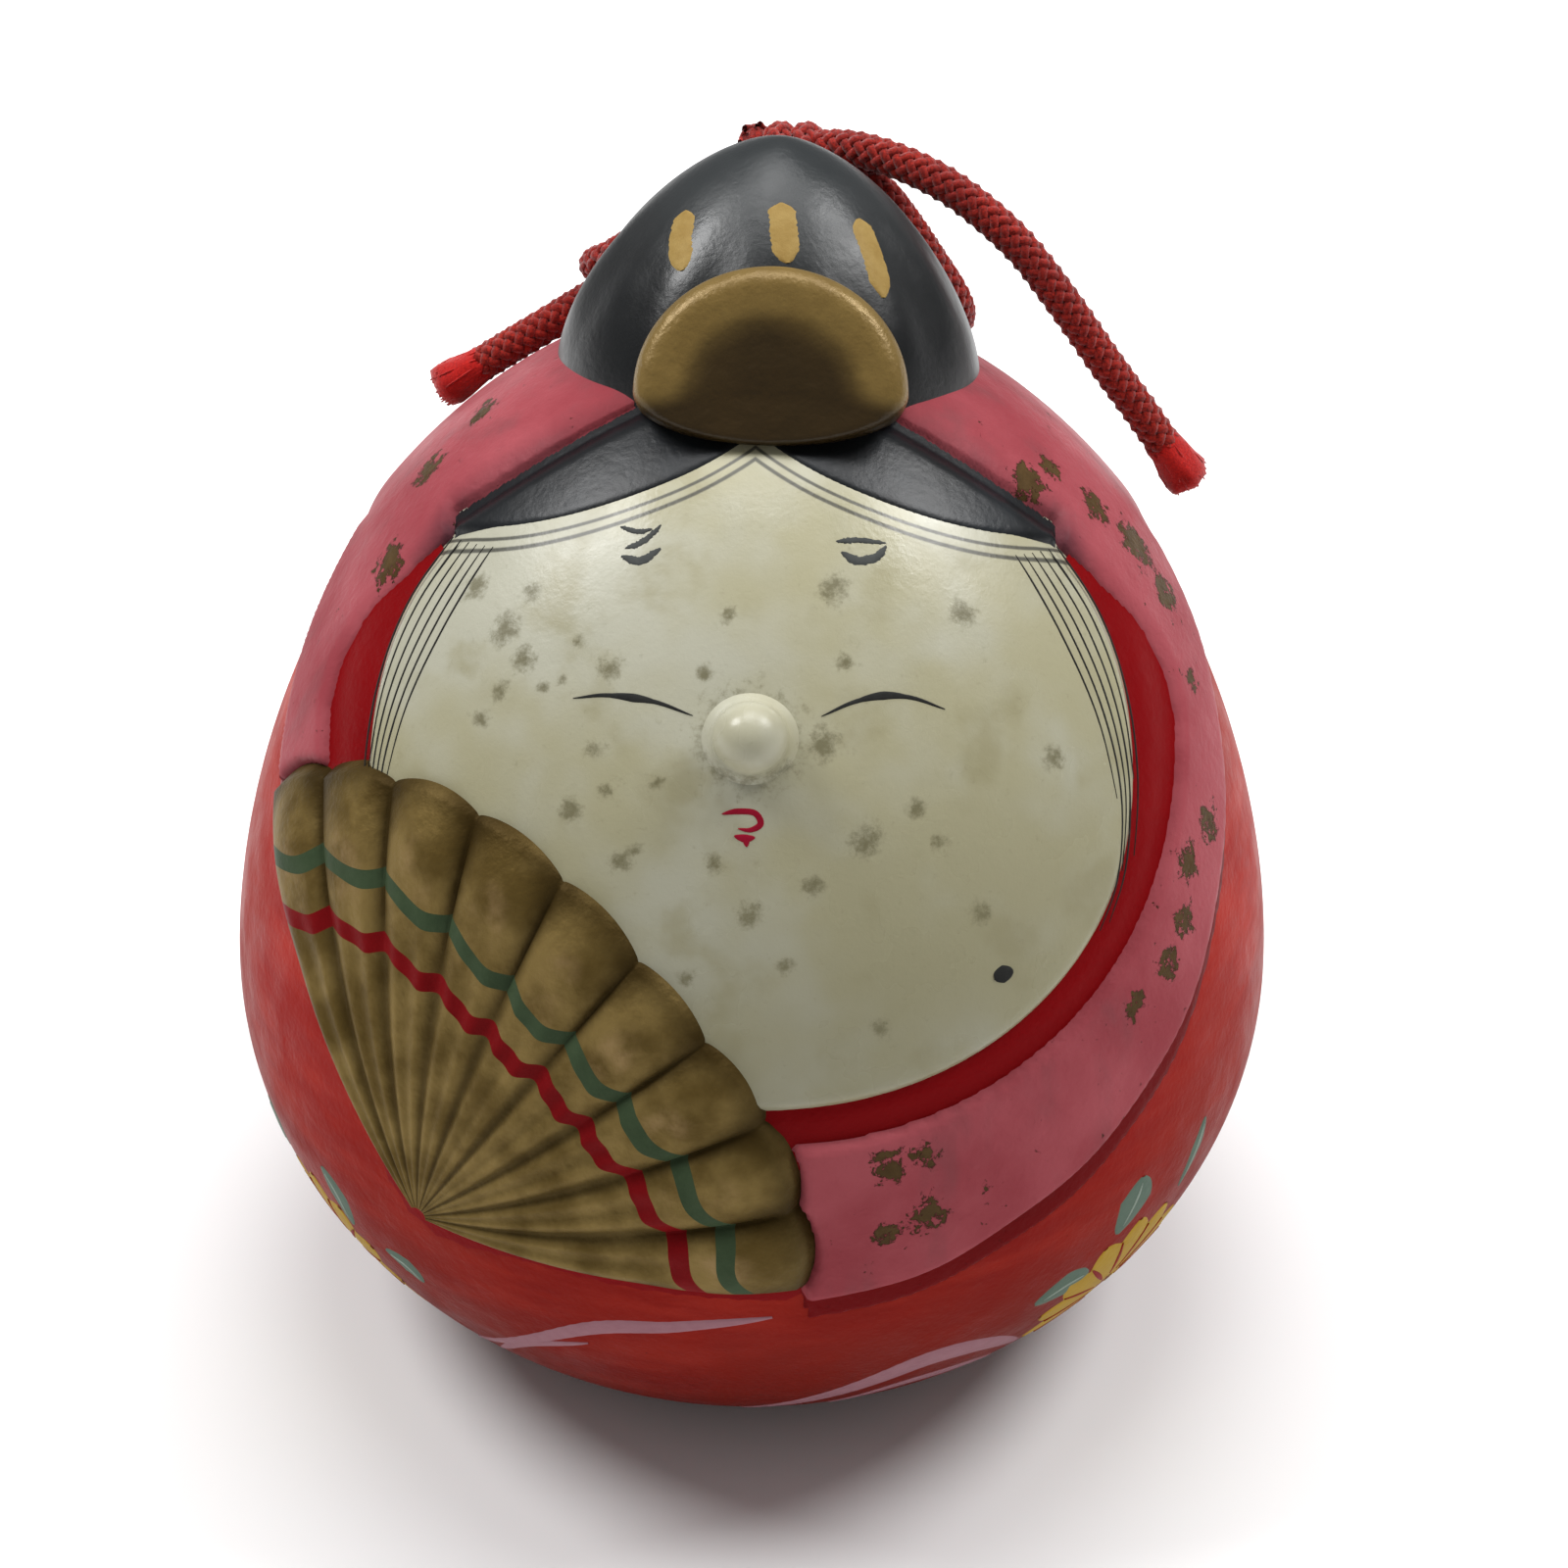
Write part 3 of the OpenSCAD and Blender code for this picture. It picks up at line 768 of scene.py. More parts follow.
# Old stains on the face, and painted shade beside and round the nose: x, height and size.
STAINS_AND_SHADE = [(-1.3, 58.7, 0.7), (-2.6, 56.3, 0.8), (4.5, 59.6, 1.4), (5.1, 56.7, 0.8),
          (11.8, 57.5, 1.3), (-8.7, 52.3, 0.9), (-10, 49.4, 1.1), (-5.1, 51.4, 0.7),
          (-6.3, 48.1, 0.6), (-1.9, 47.8, 0.9), (9.2, 49.8, 0.9), (6.5, 48.7, 1.4),
          (-7.9, 55.9, 1.2), (-10.5, 54.9, 0.6), (-9.7, 56.7, 0.7), (4, 53.3, 1.6),
          (-15.8, 56.9, 1.3), (-13.9, 56.1, 1.6), (-14.1, 53.5, 0.9), (-7, 47.4, 1),
          (0.1, 45.4, 1.1), (2.1, 42.8, 0.8), (17.1, 50, 1.2), (-11.6, 54.4, 0.6),
          (-3.4, 42, 0.8), (13, 44, 1.1), (-12.5, 57.8, 0.9), (7.5, 39, 0.9), (0, 53.6, 4.2),
          (-12.8, 55.2, 1.2), (-15.2, 52, 0.8), (-8, 50.6, 0.7), (3.6, 46.8, 1), (10.6, 48, 0.8)]


def spotted(points, spots):
    """How deep each point lies in the nearest round spot: 1 in its middle, 0 outside it."""
    best = np.zeros(points.shape[:-1])
    for centre, size in spots:
        best = np.maximum(best, 1 - np.linalg.norm(points - centre, axis=-1) / size)
    return best


def from_front(route, lift):
    """Points of the shell seen from the front at (x, z)."""
    x, z = np.asarray(route, float).T
    return np.stack([x, -np.sqrt(np.maximum(radius_at(z, lift) ** 2 - x**2, 0)), z], -1)


def from_turn(route, lift):
    """Points of the shell at (turn in degrees, z)."""
    turn, z = np.asarray(route, float).T
    return turned(radius_at(z, lift), np.radians(turn), z)


def add_hood():
    """Pink hood: open round the face, cut short by the fan, with a soft outer rim."""
    front = sheet_grid(-95, 95, -12, 89.5, 0.3)
    back = sheet_grid(95, 265, 20, 89.5, 0.9)
    for name, (turn, angle), nodes in (("hood_front", front, ["hood_left", "hood_right"]),
                                       ("hood_rear", back, ["hood_back"])):
        points = shell_points(turn, angle, 0.5)
        x, y, z = np.moveaxis(points, -1, 0)
        wobble = 0.12 * np.sin(turn * 0.16) + 0.08 * np.sin(turn * 0.37 + 1)
        slope = (z - RIM_Z) * math.cos(RIM_TILT) - (y - RIM_Y) * math.sin(RIM_TILT)
        rim = np.maximum(slope, z - BACK_RIM_Z) + wobble
        hair = np.where(y < 0, signed_distance(x, z, HAIR_ARCH), FAR)
        opening = np.minimum(signed_distance(x, z, LINING), signed_distance(x, z, FACE))
        opening = np.where(y < 0, opening, FAR)
        # By the temples the hood closes over the lining and meets the face.
        opening = np.minimum(hair, opening + 0.5 * np.clip((z - 49.5) / 5, 0, 1))
        across, up, depth = fan_plane(points)
        fan = np.where(depth > 0, signed_distance(across, up, under_fan_outline()), FAR)
        inner = np.minimum(opening, fan)
        edge = np.minimum(rim, inner)
        # Past the rim a thin band of paint lies on the body, then dips into it: its dark red is
        # painted shade beside the hood's step.
        foot = 0.16 - 0.7 * np.clip((-rim - SHADE_BAND_W) / 0.3, 0, 1)
        foot = np.where(inner < 0.1, -0.4, foot)
        lift = foot + (HOOD_T - foot) * rounded(edge + 0.1, 0.6)
        worn = spotted(points, [(from_turn([(t, h)], HOOD_T)[0], r) for t, h, r in CHIPS])
        # The shade by the hair fades out before the back, where hair is FAR.
        shade = hair + np.clip((y + 9) * 0.8, 0, 9)
        shown = (edge > -0.5) | ((inner > 0) & (rim > -SHADE_BAND_W - 0.6))
        relief(name, turn, angle, lift, shown, [PINK], nodes,
               {"rim": rim, "hair": shade, "worn": worn})


def add_lining():
    """Red band between the face and the hood, slightly rounded."""
    turn, angle = sheet_grid(-85, 85, 4, 62, 0.5)
    x, _, z = np.moveaxis(shell_points(turn, angle, LINING_T), -1, 0)
    outer, inner = signed_distance(x, z, LINING), signed_distance(x, z, FACE)
    lift = LINING_T + 0.12 * np.sin(np.clip((inner + 0.2) / 1.8, 0, 1) * math.pi)
    shown = (outer < 1.2) & (inner > -1) & (z < LINING_TOP)
    relief("lining", turn, angle, lift, shown, [DARK_RED],
           ["lining_left", "lining_right"])


def add_face():
    """Cream face up to the peak between the two wings of hair."""
    turn, angle = sheet_grid(-72, 72, 6, 89, 0.3)
    points = shell_points(turn, angle, FACE_T)
    x, _, z = np.moveaxis(points, -1, 0)
    face, hair = signed_distance(x, z, FACE), signed_distance(x, z, HAIR_ARCH)
    stain_and_shade = spotted(points, [(from_front([(a, h)], FACE_T)[0], r) for a, h, r in STAINS_AND_SHADE])
    edge = -np.minimum(face, hair)
    lift = 0.2 + (FACE_T - 0.2) * rounded(edge + 0.15, 0.9)
    relief("face_skin", turn, angle, lift, (face < 0.6) & (edge > -0.5), [CREAM],
           ["face"], {"hairline": signed_distance(x, z, BROW), "stain_and_shade": stain_and_shade})
    top = FACE_T + 0.1
    edge = np.minimum(-hair, face)
    lift = 0.3 + (top - 0.3) * rounded(edge + 0.25, 0.5)
    relief("hair", turn, angle, lift, edge > -0.4, [HAIR],
           ["hair_left", "hair_right"])


def add_nose():
    """Ball nose that flows into the face through a small fillet, with painted shade on its
    underside.
    """
    centre, radius, sides = np.array([0, -24.3, 54.4]), 2.1, 60
    ahead = unit(centre - [0, 0, 36])
    side, up = np.array([1, 0, 0]), unit(np.cross([1, 0, 0], ahead))
    rows = [(radius * math.sin(a), radius * math.cos(a)) for a in np.radians(np.arange(2, 93, 6))]
    rows += [(2.12, -0.4), (2.2, -0.8), (2.4, -1.15), (2.75, -1.5)]
    turn = np.linspace(0, 2 * math.pi, sides, endpoint=False)[:, None]
    points = [[centre + ahead * radius]]
    for out, rise in rows:
        ring = np.cos(turn) * side + np.sin(turn) * up * 0.96
        points.append(centre + ahead * rise + out * ring)
    points = np.vstack(points)
    faces = [[0, 1 + n, 1 + (n + 1) % sides] for n in range(sides)]
    faces += (quads(len(rows), sides, True)[:, ::-1] + 1).tolist()
    # Painted shade: the stain measure darkens the underside of the nose.
    new_mesh("nose_ball", points, faces, [CREAM], stands_for=["nose"],
             measures={"hairline": np.full(len(points), 9.0),
                       "stain_and_shade": np.clip((53.8 - points[:, 2]) * 0.35, 0, 0.6)})


def fan_place(radius, angle, lift):
    """Points of the fan from its own polar coordinates."""
    across = FAN_X + radius * np.sin(np.radians(angle))
    z = FAN_Z + radius * np.cos(np.radians(angle))
    depth = np.sqrt(np.maximum(radius_at(z, lift) ** 2 - across**2, 0))
    x = across * math.cos(FAN_SIDE) + depth * math.sin(FAN_SIDE)
    y = across * math.sin(FAN_SIDE) - depth * math.cos(FAN_SIDE)
    return np.stack([x, y, z], -1)


# Painted lines on the fan: angles, and their radius at each of them.
LINE_ANGLES = (-45, -20, 0, 20, 50, 70, 92)
RED_LINE = (18.6, 16.8, 15.1, 14, 14.1, 15.6, 17.4)
GREEN_LINE = (21.6, 20.2, 18.5, 16.8, 16.8, 18.2, 19.8)


def line_radius(angle, stops):
    """Where a painted line crosses the fan: it follows its stops and wavers over each fold."""
    waver = 0.22 * np.sin(2 * math.pi * (angle - FAN_LOW) / FAN_OPEN * FOLDS + 0.8)
    return np.interp(angle, LINE_ANGLES, stops) + waver


def add_fan():
    """Fine pleats near the pivot open into plump lobes along the edge."""
    angle = np.linspace(FAN_LOW, FAN_HIGH, 361)
    edge = fan_edge(angle)
    marks = []
    for stops, half in ((RED_LINE, 0.55), (GREEN_LINE, 0.5)):
        middle = line_radius(angle, stops)
        marks += [middle - half, middle + half]
    stops = [np.full_like(angle, 0.6), *marks, edge]
    rows, indices = [], []
    for number, (low, high) in enumerate(zip(stops, stops[1:])):
        parts = (24, 3, 6, 3, 22)[number]
        rows += [low + (high - low) * k / parts for k in range(parts)]
        indices += [(0, 1, 0, 2, 0)[number]] * parts
    rows += [edge, edge + 0.12, edge + 0.2]
    indices += [0, 0]
    radius = np.array(rows)
    spread = np.broadcast_to(angle, radius.shape)
    fold = (spread - FAN_LOW) / FAN_OPEN * FOLDS
    share = np.clip(radius / edge, 0, 1)
    broad = 0.5 - 0.5 * np.cos(2 * math.pi * fold)
    fine = 0.5 - 0.5 * np.cos(4 * math.pi * fold)
    pleat = broad * 0.45 + fine * 0.55
    lobe = np.abs(np.sin(math.pi * fold)) ** 0.6
    outer = eased((share - 0.62) / 0.22)
    crown = 1 - np.clip((share - 0.84) / 0.16, 0, 1) ** 2
    dimple = np.exp(-((share - 0.8) / 0.05) ** 2) * np.sin(math.pi * fold) ** 2
    inner_lift = 1.5 + 0.55 * pleat * np.clip(share * 2, 0.1, 1)
    outer_lift = 1.35 + (1.15 * lobe - 0.3 * dimple) * (0.35 + 0.65 * crown)
    lift = inner_lift * (1 - outer) + outer_lift * outer
    lift[-3:] = [lift[-3], np.full_like(angle, 0.9), np.full_like(angle, -0.2)]
    border = np.clip(np.minimum(fold, FOLDS - fold) / 0.1, 0, 1)
    lift = np.where(np.arange(len(lift))[:, None] < len(lift) - 2,
                    -0.2 + (lift + 0.2) * np.sin(border * math.pi / 2), lift)
    ridge = lobe * (0.3 + 0.7 * crown) * outer + (0.25 + 0.65 * pleat) * (1 - outer)
    points = fan_place(radius, spread, lift)
    faces = quads(*radius.shape)
    per_cell = np.repeat(indices, len(angle) - 1)
    new_mesh("fan_skin", points.reshape(-1, 3), faces, [GOLD, FAN_RED, FAN_GREEN],
             stands_for=["fan"], indices=per_cell, measures={"ridge": ridge})


# ---- Body --------------------------------------------------------------------------------

SLOT_REACH = 12
SLOT_W = 3
SLOT_END_R = 3
# The hollow's floor is a dish: the height of its middle, and the radius it curves with.
DISH_Z = 4
DISH_R = 48


def lathe(rows, sides, inward=False):
    """Points and faces of a closed turned solid, from rows of radius and height."""
    turn = np.arange(sides) * 2 * math.pi / sides
    points = [(r * math.cos(t), r * math.sin(t), z) for r, z in rows for t in turn]
    faces = quads(len(rows), sides, True).tolist()
    faces.append(list(range(sides))[::-1])
    faces.append([(len(rows) - 1) * sides + s for s in range(sides)])
    if inward:
        faces = [f[::-1] for f in faces]
    return points, faces


def slot_cutter():
    """The sound slot: a straight cut with a round hole at each end."""
    outline = []
    meet = math.degrees(math.asin(SLOT_W / 2 / SLOT_END_R))
    for middle, start in ((SLOT_REACH, -180 + meet), (-SLOT_REACH, meet)):
        for a in np.radians(np.linspace(start, start + 360 - 2 * meet, 33)):
            outline.append((middle + SLOT_END_R * math.cos(a), SLOT_END_R * math.sin(a)))
    n = len(outline)
    points = [(x, y, z) for z in (-1, 11) for x, y in outline]
    faces = [list(range(n))[::-1], [n + k for k in range(n)]]
    faces += [[k, (k + 1) % n, n + (k + 1) % n, n + k] for k in range(n)]
    mesh = bpy.data.meshes.new("slot_cutter")
    mesh.from_pydata((np.array(points) * MM).tolist(), [], faces)
    cutter = bpy.data.objects.new("slot_cutter", mesh)
    bpy.context.collection.objects.link(cutter)
    return cutter


def add_body():
    """Hollow body, its base cut by the sound slot."""
    low_angle = -math.degrees(math.asin(BELLY_Z / LOW_H))
    r, z = profile(np.linspace(low_angle, 89.6, 150))
    outside = [(BASE_R - 0.5, 0), (BASE_R - 0.1, 0.08), *zip(r[1:], z[1:])]
    points, faces = lathe(outside, 240)
    r, z = profile(np.linspace(-56, 89, 80))
    inner_r = r * (BODY_R - WALL) / BODY_R
    above = BELLY_Z + (z - BELLY_Z) * (CROWN_H - WALL) / CROWN_H
    below = BELLY_Z + (z - BELLY_Z) * (LOW_H - WALL) / LOW_H
    inner_z = np.where(z > BELLY_Z, above, below)
    dish = DISH_Z + DISH_R - np.sqrt(DISH_R**2 - inner_r**2)
    inner = [(0.3, DISH_Z + 0.001)] + [(a, max(b, c)) for a, b, c in zip(inner_r, inner_z, dish)]
    more, more_faces = lathe(inner, 120, inward=True)
    faces += [[k + len(points) for k in f] for f in more_faces]
    body = new_mesh("body", points + more, faces, [RED, CLAY],
                    stands_for=["body_front", "body_back"])
    cutter = slot_cutter()
    cut = body.modifiers.new("slot", "BOOLEAN")
    cut.operation = "DIFFERENCE"
    cut.object = cutter
    cut.solver = "EXACT"
    bpy.context.view_layer.update()
    graph = bpy.context.evaluated_depsgraph_get()
    result = bpy.data.meshes.new_from_object(body.evaluated_get(graph))
    body.modifiers.clear()
    body.data = result
    bpy.data.objects.remove(cutter)
    for face in result.polygons:
        x, y, z = face.center / MM
        painted = z > 0.1 and abs(math.hypot(x, y) - radius_at(z)) < 0.3
        face.material_index = 0 if painted else 1
        face.use_smooth = True
    result.set_sharp_from_angle(angle=math.radians(35))


# ---- Bun, comb and pellet --------------------------------------------------------------

BUN_R = 12.7
BUN_H = 14
LUG_R = 2.35
LUG_T = 1.3
LUG_W = 3.2
BUN_PLACE = Matrix.Translation((0.6, 4.8, 62.2)) @ (
    Matrix.Rotation(math.radians(2), 4, "Y") @ Matrix.Rotation(math.radians(-8), 4, "X"))


def bun_radius(share, turn):
    """The bun's radius; share runs from the foot (0) to the top (1)."""
    smooth = BUN_R * (1 - share**1.5) ** (1 / 1.6)
    ripple = 0.6 * np.cos(9 * turn + 0.5) + 0.4 * np.cos(14 * turn + 2)
    return smooth * (1 + 0.022 * ripple * np.sin(np.clip(share * 1.15, 0, 1) * math.pi) ** 1.5)


def placed(points, place):
    """Points moved by a 4x4 matrix."""
    m = np.array(place)
    return np.asarray(points) @ m[:3, :3].T + m[:3, 3]


def bun_point(share, turn, lift=0.0):
    """A point of the bun; turn 0 faces the front and 90 degrees the viewer's right."""
    return placed(turned(bun_radius(share, turn) + lift, turn, BUN_H * share), BUN_PLACE)


def add_bun():
    """The rippled dome on a short skirt, and the lug behind it that the cord goes through."""
    share = np.sin(np.radians(np.linspace(0, 89.5, 70)))
    turn = np.radians(np.arange(0, 360, 2.5))
    grid = bun_point(share[:, None], turn)
    skirt = [placed(turned(BUN_R - inset, turn, z), BUN_PLACE)
             for inset, z in ((1.2, -3.4), (0.45, -0.9), (0.1, -0.25))]
    rows = np.concatenate([np.stack(skirt), grid])
    points = rows.reshape(-1, 3)
    faces = quads(len(rows), len(turn), True).tolist()
    faces.append([len(points) - len(turn) + k for k in range(len(turn))])
    around = np.radians(np.arange(0, 360, 10))[:, None]
    section = np.radians(np.arange(0, 360, 20))
    out = LUG_R + LUG_T / 2 * full(np.cos(section), 3)
    lug = np.stack(np.broadcast_arrays(LUG[0] + LUG_W / 2 * full(np.sin(section), 3),
                                       LUG[1] + out * np.cos(around),
                                       LUG[2] + out * np.sin(around)), -1).reshape(-1, 3)
    corners = quads(len(around) + 1, len(section), True)[:, [0, 3, 2, 1]] % len(lug)
    faces += (corners + len(points)).tolist()
    new_mesh("bun", np.vstack([points, lug]), faces, [BUN],
             stands_for=["hair_bun"])


COMB_PLACE = Matrix.Translation((0.8, -9.8, 64.6)) @ Matrix.Rotation(math.radians(57), 4, "X")
COMB_FOOT = 3
COMB_W = 15.6
COMB_TOP = 10.2
PLATE_UP = 0.65


def add_comb():
    """Half-moon comb: a thick rounded rim that melts into a slightly sunk plate."""
    a = np.radians(np.arange(0, 360, 3))
    # The rim stands up round the top and sinks into the plate at the foot.
    top = np.clip(np.sin(a) * 1.6 + 0.75, 0, 1)
    high = np.where(a < math.pi, COMB_TOP - COMB_FOOT, COMB_FOOT)
    rows, rims = [], []
    for inset, depth, rim in ((0, -5.5, 1), (0, -0.5, 1), (0.12, 0.15, 1), (0.4, 0.6, 1),
                              (0.8, 0.86, 1), (1.3, 0.93, 1), (1.9, 0.88, 0.85), (2.5, 0.8, 0.55),
                              (3.2, 0.73, 0.25), (4.2, 0.7, 0.05), (5.6, 0.7, 0), (7.2, 0.7, 0)):
        wide = np.maximum(COMB_W / 2 - inset, 0.02)
        tall = high * np.maximum(1 - inset / COMB_W * 2, 0.003)
        tall = np.where(a < math.pi, np.maximum(high - inset, 0.02), tall)
        level = np.where(depth > PLATE_UP, PLATE_UP + (depth - PLATE_UP) * top, depth)
        rows.append(np.stack([wide * np.cos(a), COMB_FOOT + tall * np.sin(a), level], -1))
        rims.append(rim * top)
    points = placed(np.array(rows).reshape(-1, 3), COMB_PLACE)
    faces = quads(len(rows), len(a), True).tolist()
    faces.append([(len(rows) - 1) * len(a) + k for k in range(len(a))])
    new_mesh("comb_plate", points, faces, [COMB], stands_for=["comb"],
             measures={"rim": np.array(rims)})


def add_pellet():
    """Hand-rolled clay pellet, a little lumpy."""
    low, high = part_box("pellet")
    centre, radius = np.array((low + high) / 2) / MM, (high.x - low.x) / 2 / MM
    rows, sides = 32, 48
    tilt = np.linspace(0.02, math.pi - 0.02, rows)[:, None]
    turn = np.arange(sides)[None, :] * 2 * math.pi / sides
    lump = radius * (0.985 + 0.012 * np.sin(3 * turn + 4 * tilt) * np.sin(tilt) ** 2)
    out = lump * np.sin(tilt)
    points = np.stack([out * np.cos(turn), out * np.sin(turn), -lump * np.cos(tilt)], -1)
    points = centre + points.reshape(-1, 3)
    faces = quads(rows, sides, True).tolist()
    faces += [list(range(sides))[::-1], [(rows - 1) * sides + s for s in range(sides)]]
    new_mesh("pellet_ball", points, faces, [CLAY], body="rattle",
             stands_for=["pellet"])


add_body()
add_hood()
add_lining()
add_face()
add_nose()
add_fan()
add_bun()
add_comb()
add_pellet()

# ---- Brush strokes ------------------------------------------------------------------------


def on_shell(lift):
    """Puts points on the shell's surface, keeping their direction and height."""
    def snap(points):
        x, y, z = np.moveaxis(points, -1, 0)
        scale = radius_at(z, lift) / np.maximum(np.hypot(x, y), 1e-9)
        return np.stack([x * scale, y * scale, z], -1)
    return snap


class Strokes:
    """Brush strokes on one surface, gathered into one piece."""

    def __init__(self, snap, centre=(0, 0, 30)):
        self.snap, self.centre = snap, np.array(centre)
        self.points, self.faces, self.count = [], [], 0

    def add(self, route, width, thick=0.06, taper=(0.4, 0.4), ragged=0.0, power=0.5):
        """One stroke along 3-D points; taper is the share of its length that each end narrows."""
        steps, columns = 28, 7
        line = curve(route, steps)
        along = unit(np.gradient(line, axis=0))
        out = unit(line - self.centre)
        aside = unit(np.cross(along, out))
        t = np.linspace(0, 1, steps)
        wide = width / 2 * np.clip(t / max(taper[0], 1e-3), 0.02, 1) ** power
        wide = wide * np.clip((1 - t) / max(taper[1], 1e-3), 0.02, 1) ** power
        across = np.linspace(-1, 1, columns)
        shift = random.normal(0, ragged, (steps, columns)) * (np.abs(across) > 0.9)
        grid = line[:, None] + aside[:, None] * (wide[:, None] * across + shift)[..., None]
        grid = self.snap(grid)
        rise = thick * (1 - across**4)[None, :, None] - 0.02
        grid = grid + unit(grid - self.centre) * rise
        self.points.append(grid.reshape(-1, 3))
        self.faces += (quads(steps, columns)[:, ::-1] + self.count).tolist()
        self.count += steps * columns

    def make(self, name, material, slot):
        """The strokes so far as one piece."""
        return new_mesh(name, np.vstack(self.points), self.faces, [material])


def add_face_marks():
    """Closed eyes, brows, mouth, the mole and the wisps of hair at the temples."""
    lift = FACE_T
    ink = Strokes(on_shell(lift))
    for route in ([(-9.9, 54.3), (-8.2, 54.75), (-6.5, 54.9), (-5, 54.85), (-3.2, 54.5)],
                  [(3.9, 54.5), (5.6, 54.95), (7.3, 55.05), (9, 54.7), (10.8, 53.9)]):
        eye = from_front(route, lift)
        ink.add(eye, 0.34, taper=(0.3, 0.3))
        ink.add(curve(eye, 9)[2:7], 0.66, taper=(0.5, 0.5))
    ink.add(from_front([(13.85, 40.5), (14.4, 40.5), (14.95, 40.5)], lift), 1.15, 0.09, (0.5, 0.5),
            power=0.35)
    ink.make("eye_lines", INK, "black_paint")
    brows = Strokes(on_shell(lift))
    for route, width in (([(-7.5, 61.3), (-6.5, 61.3), (-5.7, 61.5)], 0.5),
                         ([(-7.2, 60.6), (-6.2, 61), (-5.2, 61.7)], 0.5),
                         ([(-7.4, 60.3), (-6.3, 60.3), (-5.2, 60.9)], 0.75),
                         ([(4.6, 61.3), (5.9, 61.2), (7.4, 60.9)], 0.55),
                         ([(4.9, 60.9), (5.8, 60.5), (6.9, 60.5), (7.4, 60.8)], 0.8)):
        brows.add(from_front(route, lift), width, taper=(0.25, 0.4), ragged=0.05)
    brows.make("brows", PALE_INK, "black_paint")
    lips = Strokes(on_shell(lift))
    lips.add(from_front([(-1.5, 50.2), (-0.7, 50.35), (0.3, 50.3), (0.65, 49.8), (0.1, 49.5),
                         (-0.6, 49.55)], lift), 0.42, taper=(0.2, 0.3))
    lips.add(from_front([(-0.8, 49.2), (-0.2, 49.1), (0.35, 49.15)], lift), 0.55)
    lips.add(from_front([(-0.15, 49.2), (-0.1, 48.7)], lift), 0.4)
    lips.make("mouth", LIP, "dark_red_paint")
    wisps = Strokes(on_shell(lift))
    # Long strands fall from each temple and follow the edge of the face.
    inner = [(14.9, 58.6), (17.6, 54.8), (19.8, 50.6), (21, 46.6), (20.9, 42.8), (19.8, 40.6)]
    outer = [(17.4, 57.8), (20, 54.4), (21.6, 50.8), (22.3, 47), (22.1, 43.4), (21.2, 41)]
    for side in (-1, 1):
        for n in range(6):
            share = n / 5
            last = (4, 6, 5, 6, 4, 5)[n]
            route = [(side * (a + (c - a) * share), b + (d - b) * share)
                     for (a, b), (c, d) in zip(inner, outer)][:last]
            wisps.add(from_front(route, lift), 0.17, taper=(0.1, 0.5), ragged=0.01)
    wisps.make("wisps", INK, "black_paint")


def add_body_flowers():
    """Leaves, chrysanthemums and ribbons low on the body."""
    snap = on_shell(0)
    leaves, veins = Strokes(snap), Strokes(snap)
    for a, b, width in (((-52.5, 19.8), (-49.5, 15.8), 2.6), ((-43.5, 15.9), (-38.5, 14.6), 2.3),
                        ((-68, 19), (-66.5, 15.5), 2.2), ((46.3, 22.4), (43.8, 18.4), 3.6),
                        ((33.8, 15), (41, 15.8), 3.4), ((58, 22.8), (55, 18.2), 1.6)):
        route = from_turn([a, ((a[0] + b[0]) / 2 + 0.6, (a[1] + b[1]) / 2 + 0.3), b], 0)
        leaves.add(route, width, 0.07, (0.5, 0.5))
        veins.add(curve(route, 9)[1:8], 0.32, 0.11, (0.4, 0.6))
    leaves.make("leaves", LEAF, "red_paint")
    veins.make("leaf_veins", VEIN, "red_paint")
    petals, lines = Strokes(snap), Strokes(snap)
    for turn, z in ((48, 11.5), (-57, 10.5)):
        side = math.copysign(1, turn)
        for n in range(9):
            a = math.radians(-20 + 220 * n / 8)
            petal = [(turn + side * across * math.cos(a), z + up * math.sin(a))
                     for across, up in ((1.5, 0.8), (6, 3.4), (11.5, 6.6))]
            if n == 0:
                petal[-1] = (petal[-1][0], z - 1)
            petals.add(from_turn(petal, 0), 3.2, 0.07, (0.6, 0.25))
            a += math.radians(13)
            line = [(turn + side * across * math.cos(a), z + up * math.sin(a))
                    for across, up in ((2.5, 1.4), (6, 3.4), (9.5, 5.4))]
            lines.add(from_turn(line, 0), 0.5, 0.1, (0.4, 0.4))
    petals.make("mum_petals", YELLOW, "gold_paint")
    lines.make("mum_outlines", MUM_RED, "dark_red_paint")
    ribbons = Strokes(snap)
    for route, width, taper in (([(-37, 8), (-18, 16.2), (-7, 18.3), (3, 19.6)], 1.5, (0.4, 0.5)),
                                ([(-33, 8.2), (-26, 12.2), (-17, 15)], 1, (0.4, 0.5)),
                                ([(0, 5), (11, 8.8), (21, 12.2), (29, 11.8), (36, 9.4)], 3,
                                 (0.5, 0.4)),
                                ([(12, 5.6), (20, 8.2), (28, 8.4), (34, 7.6)], 2, (0.5, 0.4))):
        ribbons.add(from_turn(route, 0), width, 0.07, taper)
    ribbons.make("ribbons", LILAC, "pink_paint")


def add_fan_shadow():
    """Dark red on the body along the two straight sides of the fan: the fan's red-painted foot,
    widened by painted shadow.
    """
    band = Strokes(on_shell(0))
    route = [(24, -1), (18, -1), (12, -1), (6, -1), (1.6, 0), (6, 1), (12, 1), (18, 1), (22, 1)]
    sides = {-1: FAN_LOW, 0: (FAN_LOW + FAN_HIGH) / 2 + 180, 1: FAN_HIGH}
    points = [fan_place(r, sides[side] + side * math.degrees(0.7 / r), 0) for r, side in route]
    band.add(points, 2.6, 0.05, (0.04, 0.04))
    band.make("fan_foot_shadow", DARK_RED, "dark_red_paint")


